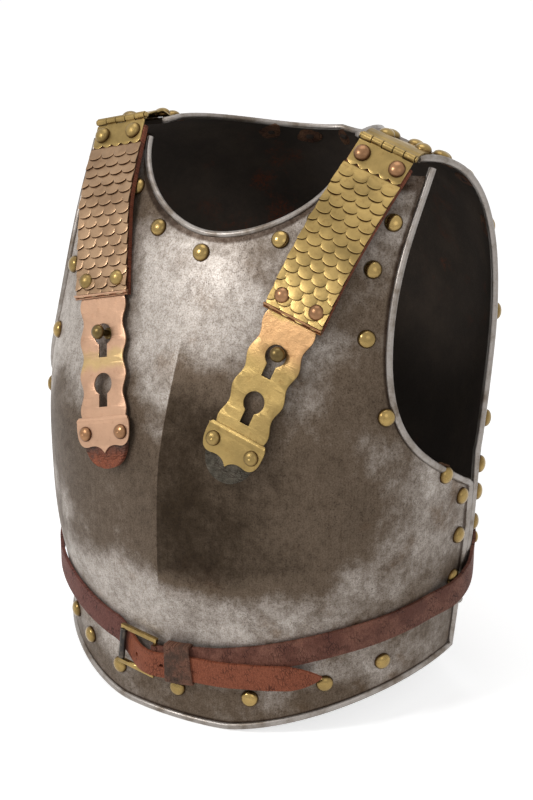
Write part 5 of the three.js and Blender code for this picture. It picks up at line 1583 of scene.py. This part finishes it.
class CUIRASS_OT_keyhole_plates(CuirassOperator, bpy.types.Operator):
    """Cuts the waved keyhole plates and the end caps"""

    bl_idname = "cuirass.keyhole_plates"
    bl_label = "Keyhole plates"
    waves = 4.5
    wave_steps = 90
    round_steps = 30
    slice_step = 0.0015
    # The cap's bends, each by three points: share of its half width, then share of its length
    cap_shares = [((0.92, 0), (1.03, 0.08), (1, 0.4)), ((1, 0.4), (0.97, 0.86), (0.6, 0.82)),
                  ((0.6, 0.82), (0.2, 0.72), (0, 1))]
    bend_steps = 10
    # Of the cap's length: its ridge, and what it covers of the plate under it
    ridge_share = 0.09
    cover_share = 0.3

    def waved(self, sizes, start, end):
        side = []
        for i in range(self.wave_steps + 1):
            along = i / self.wave_steps
            wave = sizes.end_plate_wave * math.cos(along * self.waves * 2 * math.pi)
            side.append((sizes.end_plate_width / 2 - sizes.end_plate_wave + wave, lerp(start, end, along)))
        return side + mirrored(side)

    def keyhole(self, sizes, reach):
        half_slot, slot_end = sizes.slot_width / 2, reach + sizes.slot_length
        half = math.asin(half_slot / sizes.keyhole_radius)
        return [(-half_slot, slot_end), (half_slot, slot_end),
                *arc(0, reach, sizes.keyhole_radius, RIGHT_ANGLE - half, RIGHT_ANGLE + half - 2 * math.pi,
                     self.round_steps)]

    def cap(self, sizes):
        half, long, start = sizes.cap_width / 2, sizes.cap_length, sizes.cap_reach
        places = [bezier(bend, i / self.bend_steps) for bend in self.cap_shares for i in range(self.bend_steps)]
        side = [(half * x, start + long * y) for x, y in places]
        return side + [(0, start + long)] + mirrored(side)

    def execute(self, context):
        for strap in self.straps():
            sizes = strap.sizes
            gap = strap.chest.sizes.seat_gap
            metal = strap.either("brass", "red_brass")
            metals = (f"{metal}_plate", f"{metal}_cut")
            start = sizes.bar_reach - sizes.end_plate_tuck
            end = sizes.cap_reach + sizes.cap_length * self.cover_share
            holes = [self.keyhole(sizes, sizes.keyhole_reach + index * sizes.keyhole_spacing) for index in (0, 1)]
            shape = sheeted([self.waved(sizes, start, end), *holes], sizes.end_plate, sizes.tip_leather + gap,
                            span(start, end, self.slice_step), bevel=0.0004, cut_index=1)
            strap.finish("keyhole_plate", strap.lay(shape), metals, metal, "keyhole_plate")
            slices = span(sizes.cap_reach, sizes.cap_reach + sizes.cap_length, self.slice_step)
            shape = sheeted([self.cap(sizes)], sizes.cap, strap.scale_low, slices, bevel=0.0005, cut_index=1)
            ridge = sizes.cap_reach + sizes.cap_length * self.ridge_share
            for vertex in shape.verts:
                if vertex.co.z > strap.scale_low + sizes.cap / 2:
                    vertex.co.z += sizes.cap * 0.7 * (1 - smooth(abs(vertex.co.y - ridge), 0.0004, 0.002))
            strap.finish("end_cap", strap.lay(shape), metals, metal, "end_cap")
        return {"FINISHED"}


class CUIRASS_OT_strap_leather(CuirassOperator, bpy.types.Operator):
    """Lays the leather under the scales and the leather tips"""

    bl_idname = "cuirass.strap_leather"
    bl_label = "Strap leather"
    # The tip's round end: share of its half width, then share of its length
    tip_shares = [(1, 0.45), (1, 0.85), (0.5, 1), (0, 1)]
    tip_steps = 16
    # Where the leather starts under the leaf and under the cap, and where the tip rises past the keyhole plate
    leaf_cover_share = 0.6
    cap_cover_share = 0.25
    seat_share = 0.3
    slice_step = 0.002
    tip_slice_step = 0.0015

    def tip(self, sizes, start, end):
        half = sizes.end_plate_width / 2 - sizes.end_plate_wave
        places = [bezier(self.tip_shares, i / self.tip_steps) for i in range(self.tip_steps + 1)]
        side = [(half, start)] + [(half * x, start + (end - start) * y) for x, y in places]
        return side + mirrored(side[:-1])

    def strip(self, strap, half, start, end, thickness, bevel):
        outline = [(-half, start), (half, start), (half, end), (-half, end)]
        return strap.lay(sheeted([outline], thickness, 0, span(start, end, self.slice_step), bevel=bevel))

    def execute(self, context):
        for strap in self.straps():
            sizes = strap.sizes
            gap = strap.chest.sizes.seat_gap
            start = sizes.leaf_rivet_reach * self.leaf_cover_share
            end = sizes.bar_reach - sizes.end_plate_tuck - gap
            half = sizes.scale_width / 2 - gap
            shape = self.strip(strap, half, start, end, strap.leather, 0.0008)
            strap.finish("leather", shape, ("red_leather",), "red_leather", "strap_leather")
            shape = self.strip(strap, half, end, sizes.bar_reach, sizes.tip_leather, 0.0006)
            strap.finish("leather_end", shape, ("red_leather",), "red_leather")
            start = sizes.cap_reach - sizes.cap_length * self.cap_cover_share
            seat = sizes.cap_reach + sizes.cap_length * self.seat_share + gap
            shape = sheeted([self.tip(sizes, start, strap.tip_reach)], sizes.tip_leather, 0,
                            span(start, strap.tip_reach, self.tip_slice_step), bevel=0)
            for vertex in shape.verts:
                if vertex.co.z > sizes.tip_leather / 2:
                    vertex.co.z += (strap.leather - sizes.tip_leather) * smooth(vertex.co.y, seat, seat + 0.002)
            crisp = [edge for edge in shape.edges if edge.calc_face_angle(0) > math.radians(60)]
            bevelled(shape, crisp, 0.0007, segments=3)
            strap.finish("tip", strap.lay(shape), (strap.either("rough_leather", "tip_leather"),),
                         strap.either("dark_leather", "red_leather"), "strap_tip")
        return {"FINISHED"}


class CUIRASS_OT_strap_rivets(CuirassOperator, bpy.types.Operator):
    """Sets the domed rivets of both straps"""

    bl_idname = "cuirass.strap_rivets"
    bl_label = "Strap rivets"
    sink = 0.0005
    dimple = 0.0007

    def execute(self, context):
        for strap in self.straps():
            sizes = strap.sizes
            gap = strap.chest.sizes.seat_gap
            upper = strap.either("copper", "brass")
            cap_metal = strap.either("brass", "copper")
            rows = [
                ("leaf_rivet", sizes.leaf_rivet_reach, sizes.rivet_spacing, strap.leaf_high + gap,
                 (sizes.rivet_radius, sizes.rivet_rise, self.sink), upper, "copper"),
                ("scale_rivet", sizes.bar_reach - sizes.bar_rivet_inset, sizes.rivet_spacing, strap.scale_low,
                 (sizes.rivet_radius, sizes.scale_rivet_rise), upper, "copper"),
                ("cap_rivet", sizes.cap_reach + sizes.cap_rivet_inset, sizes.cap_rivet_spacing,
                 strap.scale_low + sizes.cap + gap,
                 (sizes.cap_rivet_radius, sizes.cap_rivet_rise, self.sink, self.dimple), cap_metal, cap_metal),
            ]
            for name, reach, spacing, low, head, metal, slot in rows:
                for index, where in enumerate(("inner", "outer")):
                    aside = (index - 0.5) * spacing * -strap.side
                    shape = joined_copies(dome(*head), [strap.frame_at(aside, reach, low)])
                    finished(f"{strap.name}_{name}_{where}", shape, (metal,), strap.body,
                             (f"{name}_{strap.name}_{where}",))
        return {"FINISHED"}


class CUIRASS_OT_hinges(CuirassOperator, bpy.types.Operator):
    """Builds both strap hinges with their rivets, and the studs"""

    bl_idname = "cuirass.hinges"
    bl_label = "Hinges"
    notch_reach = 0.0008
    waves = 5
    wave_steps = 8
    wave_depth = 0.0024
    slice_step = 0.002
    bore_gap = 0.0001
    # The fixed leaf is cut off this share of a knuckle's radius behind the pin, and gridded so finely
    leaf_front_share = 0.7
    leaf_grid = (0.004, 0.0015)
    head_edge = 0.0003
    rivet_sink = 0.0006

    def knuckles(self, strap, first):
        """Matrices, middles and length of every other knuckle."""
        sizes = strap.sizes
        long = (sizes.width - (sizes.knuckles - 1) * sizes.knuckle_gap) / sizes.knuckles
        middles = [(long - sizes.width) / 2 + index * (long + sizes.knuckle_gap)
                   for index in range(first, sizes.knuckles, 2)]
        return [frame_along(strap.origin + strap.across * middle, strap.across) for middle in middles], middles, long

    def leaf(self, strap):
        """The strap's leaf: notched for the other leaf's knuckles, with a waved lower edge."""
        sizes = strap.sizes
        _, middles, long = self.knuckles(strap, 1)
        half, back = sizes.width / 2, sizes.knuckle_radius + sizes.knuckle_gap
        outline = [(-half, back)]
        for middle in middles:
            for x, y in ((-1, back), (-1, self.notch_reach), (1, self.notch_reach), (1, back)):
                outline.append((middle + x * long / 2, y))
        outline.append((half, back))
        steps = self.waves * self.wave_steps
        for i in range(steps + 1):
            share = i / steps
            scallop = abs(math.sin(share * self.waves * math.pi))
            reach = sizes.leaf_length - self.wave_depth / 2 + self.wave_depth * scallop
            outline.append((lerp(half, -half, share), reach))
        slices = span(back, sizes.leaf_length, self.slice_step)
        return sheeted([outline], sizes.leaf, strap.scale_low, slices, cut_index=1)

    def own_knuckles(self, strap, first):
        sizes = strap.sizes
        places, _, long = self.knuckles(strap, first)
        return joined_copies(ring(sizes.pin_radius + self.bore_gap, sizes.knuckle_radius, long), places)

    def shoulder_leaf(self, back, strap):
        """The fixed leaf: it lies on the plate behind the hinge."""
        sizes, gap = strap.sizes, back.sizes.seat_gap
        shape = merged_copy(f"shoulder_leaf_{strap.name}")
        front = strap.origin.y + sizes.knuckle_radius * self.leaf_front_share
        low, high = (end(vertex.co.x for vertex in shape.verts) for end in (min, max))
        rear = max(vertex.co.y for vertex in shape.verts)
        cuts = [((0, front, 0), (0, -1, 0), True)]
        cuts += [((0, y, 0), (0, -1, 0), False) for y in span(front, rear, self.leaf_grid[1])]
        cuts += [((x, 0, 0), (1, 0, 0), False) for x in span(low, high, self.leaf_grid[0])]
        for place, direction, clear in cuts:
            cut(shape, place, direction, MERGE_DISTANCE, clear)
            if clear:
                bmesh.ops.holes_fill(shape, edges=[edge for edge in shape.edges if edge.is_boundary], sides=0)
        bmesh.ops.recalc_face_normals(shape, faces=shape.faces)
        shape.normal_update()
        normals = [vertex.normal.copy() for vertex in shape.verts]
        for vertex, normal in zip(shape.verts, normals):
            outward = back.settled(vertex.co, 0)[1]
            vertex.co = back.settled(vertex.co, gap + sizes.leaf * (normal.dot(outward) > 0))[0]
        bmesh.ops.recalc_face_normals(shape, faces=shape.faces)
        return shape

    def execute(self, context):
        _, back = self.plates()
        for strap in self.straps():
            sizes = strap.sizes
            name = strap.name
            strap.finish("leaf", strap.lay(self.leaf(strap)), ("brass", "brass_cut"), "brass", "strap_leaf")
            strap.finish("leaf_knuckles", self.own_knuckles(strap, 1), ("brass",), "brass")
            finished(f"{name}_shoulder_leaf", self.shoulder_leaf(back, strap), ("brass",), "plates",
                     (f"shoulder_leaf_{name}",), sharp=50)
            finished(f"{name}_shoulder_knuckles", self.own_knuckles(strap, 0), ("brass",), "plates", ())
            half = sizes.width / 2 + sizes.knuckle_gap
            head = half + sizes.pin_head
            side = [(sizes.pin_radius, half), (sizes.pin_head_radius, half),
                    (sizes.pin_head_radius, head - self.head_edge), (sizes.pin_head_radius * 0.7, head), (0, head)]
            pin = turned([(radius, -high) for radius, high in side[::-1]] + side, 20)
            shape = joined_copies(pin, [frame_along(strap.origin, strap.across)])
            strap.finish("pin", shape, ("brass",), "brass", "hinge_pin")
            for where in ("inner", "outer"):
                node = f"shoulder_rivet_{name}_{where}"
                seat, rise = seat_of(node)
                place, outward = back.settled(seat.translation, sizes.leaf + back.sizes.seat_gap)
                shape = joined_copies(dome(sizes.rivet_radius, rise, self.rivet_sink), [frame_along(place, outward)])
                finished(f"{name}_shoulder_rivet_{where}", shape, ("rivet_brass",), "plates", (node,))
            seat, rise = seat_of(f"stud_{name}")
            rise -= sizes.stud_lift
            finished(f"{name}_stud", joined_copies(self.stud(sizes, rise), [seat]), ("stud_brass",), "plates",
                     (f"stud_{name}",))
        return {"FINISHED"}

    def stud(self, sizes, rise):
        """A button: a thin foot, a neck and a round head."""
        radius = sizes.stud_head_radius
        low = rise - radius * 1.35
        profile = [(0, 0), (sizes.stud_foot_radius, 0), (sizes.stud_foot_radius, sizes.stud_foot * 0.8),
                   (sizes.stud_foot_radius * 0.9, sizes.stud_foot), (sizes.stud_neck_radius, sizes.stud_foot),
                   (sizes.stud_neck_radius, low), (radius * 0.78, low + radius * 0.12)]
        for step in range(8):
            turn = lerp(-0.35, RIGHT_ANGLE, step / 7)
            profile.append((radius * math.cos(turn), low + radius * (0.58 + 0.77 * math.sin(turn))))
        profile[-1] = (0, rise)
        return turned(profile, 28)


class CUIRASS_OT_belt(CuirassOperator, bpy.types.Operator):
    """Builds the waist belt, its keeper and its buckle"""

    bl_idname = "cuirass.belt"
    bl_label = "Belt"
    corner_steps = 4
    # The point's pull: share of the belt's half width, then share of the point's length
    point_shares = (0.7, 0.67)
    point_steps = 12
    slice_step = 0.002
    edge = 0.0006
    keeper_corner = 0.0006
    keeper_edge = 0.0003
    keeper_row_shares = (-1, -0.96, -0.6, -0.2, 0.2, 0.6, 0.96, 1)
    hole_steps = 14

    def strap(self, belt, start, end, round_start, round_end):
        """A flat strap's outline between two distances along the belt, with rounded corners where asked."""
        half, corner = belt.sizes.width / 2, belt.sizes.corner
        outline = []
        for x, y, inward, rounded in ((-1, start, 1, round_start), (1, start, 1, round_start),
                                      (1, end, -1, round_end), (-1, end, -1, round_end)):
            if not rounded:
                outline.append((x * half, y))
                continue
            bend = [(x * right, y + inward * (corner - up))
                    for right, up in arc(half - corner, 0, corner, 0, RIGHT_ANGLE, self.corner_steps)]
            outline += bend if x * inward < 0 else bend[::-1]
        return outline

    def pointed(self, belt):
        """The buckled strap's outline, from its rivet to its point."""
        sizes = belt.sizes
        half, start = sizes.width / 2, sizes.tip_across - sizes.tip_point
        outline = self.strap(belt, -belt.end, start, True, False)[:-2]
        narrower, along = self.point_shares
        pull = (half * narrower, start + sizes.tip_point * along)
        bend = [bezier([(half, start), pull, (0, sizes.tip_across)], i / self.point_steps)
                for i in range(self.point_steps + 1)]
        return outline + bend + mirrored(bend[:-1])

    def leather(self, belt, outlines, hang, low):
        slices = span(-belt.end, belt.end, self.slice_step)
        return belt.wrap(sheeted(outlines, belt.sizes.thickness, 0, slices, self.edge), hang, low)

    def keeper(self, belt):
        """A flat ring of leather round both straps."""
        sizes = belt.sizes
        half = sizes.keeper_width / 2
        top = -sizes.width / 2 - sizes.keeper_play + belt.buckle_hang(sizes.keeper_across + half)
        foot = sizes.width / 2 + sizes.keeper_play + belt.tip_hang(sizes.keeper_across - half)
        low, high = sizes.keeper, belt.over_belt + sizes.thickness + sizes.keeper_play

        def loop(along, grow, corner):
            places = []
            for x, z, start in ((foot, high, 0), (top, high, 1), (top, low, 2), (foot, low, 3)):
                middle_x = x - (corner - grow) * (1 if x == foot else -1)
                middle_z = z - (corner - grow) * (1 if z == high else -1)
                for i in range(self.corner_steps + 1):
                    turn = (start + i / self.corner_steps) * RIGHT_ANGLE
                    places.append(shape.verts.new((middle_x + corner * math.cos(turn), along,
                                                   middle_z + corner * math.sin(turn))))
            return places

        shape = bmesh.new()
        outer, inner = [], []
        for share in self.keeper_row_shares:
            along = sizes.keeper_across + half * share
            edge = self.keeper_edge if abs(share) == 1 else 0
            outer.append(loop(along, sizes.keeper - edge, sizes.keeper + self.keeper_corner))
            inner.append(loop(along, 0, self.keeper_corner))
        count = len(outer[0])
        rows = outer + inner[::-1]
        for before, after in zip(rows, rows[1:] + rows[:1]):
            for i in range(count):
                shape.faces.new((before[i], before[(i + 1) % count], after[(i + 1) % count], after[i]))
        bmesh.ops.recalc_face_normals(shape, faces=shape.faces)
        return shape

    def execute(self, context):
        chest, back = self.plates()
        belt = Belt(context.scene.cuirass_belt, chest, back)
        sizes = belt.sizes
        gap = chest.sizes.seat_gap
        outline = self.strap(belt, sizes.bar_across, belt.end, False, True)
        shape = self.leather(belt, [outline], belt.buckle_hang, belt.buckle_low)
        loop = ring(sizes.bar_radius + gap, belt.loop_radius, sizes.width)
        turn = Matrix.Translation((0, sizes.bar_across, belt.loop_radius)) @ Matrix.Rotation(RIGHT_ANGLE, 4, "Y")
        add_piece(shape, belt.wrap(joined_copies(loop, [turn]), belt.buckle_hang))
        finished("belt_left", shape, ("brown_leather",), "plates", ("belt_strap_left",))
        holes = [arc(0, along, sizes.hole_radius, 0, 2 * math.pi, self.hole_steps)[:-1]
                 for along in (sizes.first_hole, sizes.second_hole)]
        shape = self.leather(belt, [self.pointed(belt), *holes], belt.tip_hang, belt.tip_low)
        finished("belt_right", shape, ("belt_leather",), "plates", ("belt_strap_right",))
        finished("keeper_loop", belt.wrap(self.keeper(belt)), ("keeper_leather",), "keeper", ("keeper",),
                 sharp=60)
        shape = merged_copy("buckle_frame")
        crisp = [edge for edge in shape.edges if len(edge.link_faces) == 2 and edge.calc_face_angle() > 1.2]
        bevelled(shape, crisp, 0.0007)
        finished("buckle", shape, ("rivet_brass",), "plates", ("buckle_frame",), sharp=35)
        joint = self.joint("roller_turn")
        shape = joined_copies(ring(sizes.roller_bore, sizes.roller_radius, sizes.roller_length, 0.0006),
                              [frame_along(Vector(joint["pos_m"]), Vector(joint["axis"]).normalized())])
        finished("roller_bar", shape, ("dark_steel",), joint["child"], ("buckle_roller",))
        for side, where in ((1, "left"), (-1, "right")):
            place, outward, _ = belt.at(side * (belt.end - sizes.rivet_inset))
            head = frame_along(place + outward * (sizes.thickness + gap), outward)
            shape = joined_copies(dome(sizes.rivet_radius, sizes.rivet_rise), [head])
            finished(f"belt_head_{where}", shape, ("rivet_brass",), "plates", (f"belt_rivet_{where}",))
        return {"FINISHED"}


class CUIRASS_OT_stage(CuirassOperator, bpy.types.Operator):
    """Sets the floor, the lamps, the world and the camera"""

    bl_idname = "cuirass.stage"
    bl_label = "Stage"
    floor_half = 12
    floor_colour = (0.88, 0.88, 0.88)
    floor_glow = 0.64
    shade_light = 0.35
    middle = (0, 0, 0.25)
    # Name, place, size and power
    lamps = [("key", (-0.8, -1.5, 1.5), 0.5, 15), ("fill", (1.6, -1.2, 1.3), 1.2, 3),
             ("top", (-0.2, 0.2, 2.2), 1.4, 8)]
    lens = 97.22
    sensor_width = 36
    camera_place = (0.83104, -1.36810, 0.90034)
    camera_target = (-0.00888, 0.022105, 0.21104)

    def floor(self):
        """A pale floor that glows for the camera and for reflections."""
        shape = bmesh.new()
        bmesh.ops.create_grid(shape, x_segments=1, y_segments=1, size=self.floor_half)
        floor = linked("floor", mesh_of("floor", shape))
        material = bpy.data.materials.new("floor")
        nodes = Nodes(material)
        pale = nodes.node("ShaderNodeBsdfDiffuse", {}, {"Color": self.floor_colour})
        glow = nodes.node("ShaderNodeEmission", {}, {"Strength": self.floor_glow})
        both = nodes.node("ShaderNodeAddShader", {}, {0: pale, 1: glow})
        mix = nodes.node("ShaderNodeMixShader", {}, {0: nodes.seen(), 1: pale, 2: both})
        nodes.node("ShaderNodeOutputMaterial", {}, {0: mix})
        floor.data.materials.append(material)

    def world(self, scene):
        """A white world, dimmer as a light than as it is seen."""
        world = bpy.data.worlds.new("studio")
        nodes = Nodes(world)
        level = nodes.node("ShaderNodeMapRange", {}, {"Value": nodes.seen(), "To Min": self.shade_light})
        background = nodes.node("ShaderNodeBackground", {}, {"Color": (1, 1, 1), "Strength": level})
        nodes.node("ShaderNodeOutputWorld", {}, {0: background})
        scene.world = world

    @staticmethod
    def aimed(name, data, place, target):
        made = linked(name, data)
        made.location = place
        made.rotation_euler = (Vector(target) - Vector(place)).to_track_quat("-Z", "Y").to_euler()
        return made

    def execute(self, context):
        scene = context.scene
        self.floor()
        self.world(scene)
        for name, place, size, power in self.lamps:
            light = bpy.data.lights.new(name, "AREA")
            light.shape = "DISK"
            light.size = size
            light.energy = power
            self.aimed(name, light, place, self.middle)
        data = bpy.data.cameras.new("camera")
        data.lens = self.lens
        data.sensor_width = self.sensor_width
        scene.camera = self.aimed("camera", data, self.camera_place, self.camera_target)
        scene.view_settings.view_transform = "Standard"
        return {"FINISHED"}


class CUIRASS_PT_panel(bpy.types.Panel):
    """Lists the operators in the sidebar"""

    bl_label = "Cuirass"
    bl_idname = "CUIRASS_PT_panel"
    bl_space_type = "VIEW_3D"
    bl_region_type = "UI"
    bl_category = "Cuirass"

    def draw(self, context):
        for operator in OPERATORS:
            self.layout.operator(operator.bl_idname)
        for name, group in GROUPS.items():
            box = self.layout.box()
            for value in group.__annotations__:
                box.prop(getattr(context.scene, name), value)


OPERATORS = [
    CUIRASS_OT_stage,
    CUIRASS_OT_finishes,
    CUIRASS_OT_plates,
    CUIRASS_OT_rims,
    CUIRASS_OT_edge_rivets,
    CUIRASS_OT_scales,
    CUIRASS_OT_keyhole_plates,
    CUIRASS_OT_strap_leather,
    CUIRASS_OT_strap_rivets,
    CUIRASS_OT_hinges,
    CUIRASS_OT_belt,
]
GROUPS = {"cuirass_plates": PlateSizes, "cuirass_straps": StrapSizes, "cuirass_belt": BeltSizes,
          "cuirass_finishes": Finishes}
CLASSES = [*GROUPS.values(), *OPERATORS, CUIRASS_PT_panel]


def register():
    for each in CLASSES:
        bpy.utils.register_class(each)
    for name, group in GROUPS.items():
        setattr(bpy.types.Scene, name, PointerProperty(type=group))


def unregister():
    for name in GROUPS:
        delattr(bpy.types.Scene, name)
    for each in reversed(CLASSES):
        bpy.utils.unregister_class(each)


def main():
    register()
    for operator in OPERATORS:
        group, name = operator.bl_idname.split(".")
        getattr(getattr(bpy.ops, group), name)()
    bpy.context.view_layer.update()


if __name__ == "__main__":
    main()
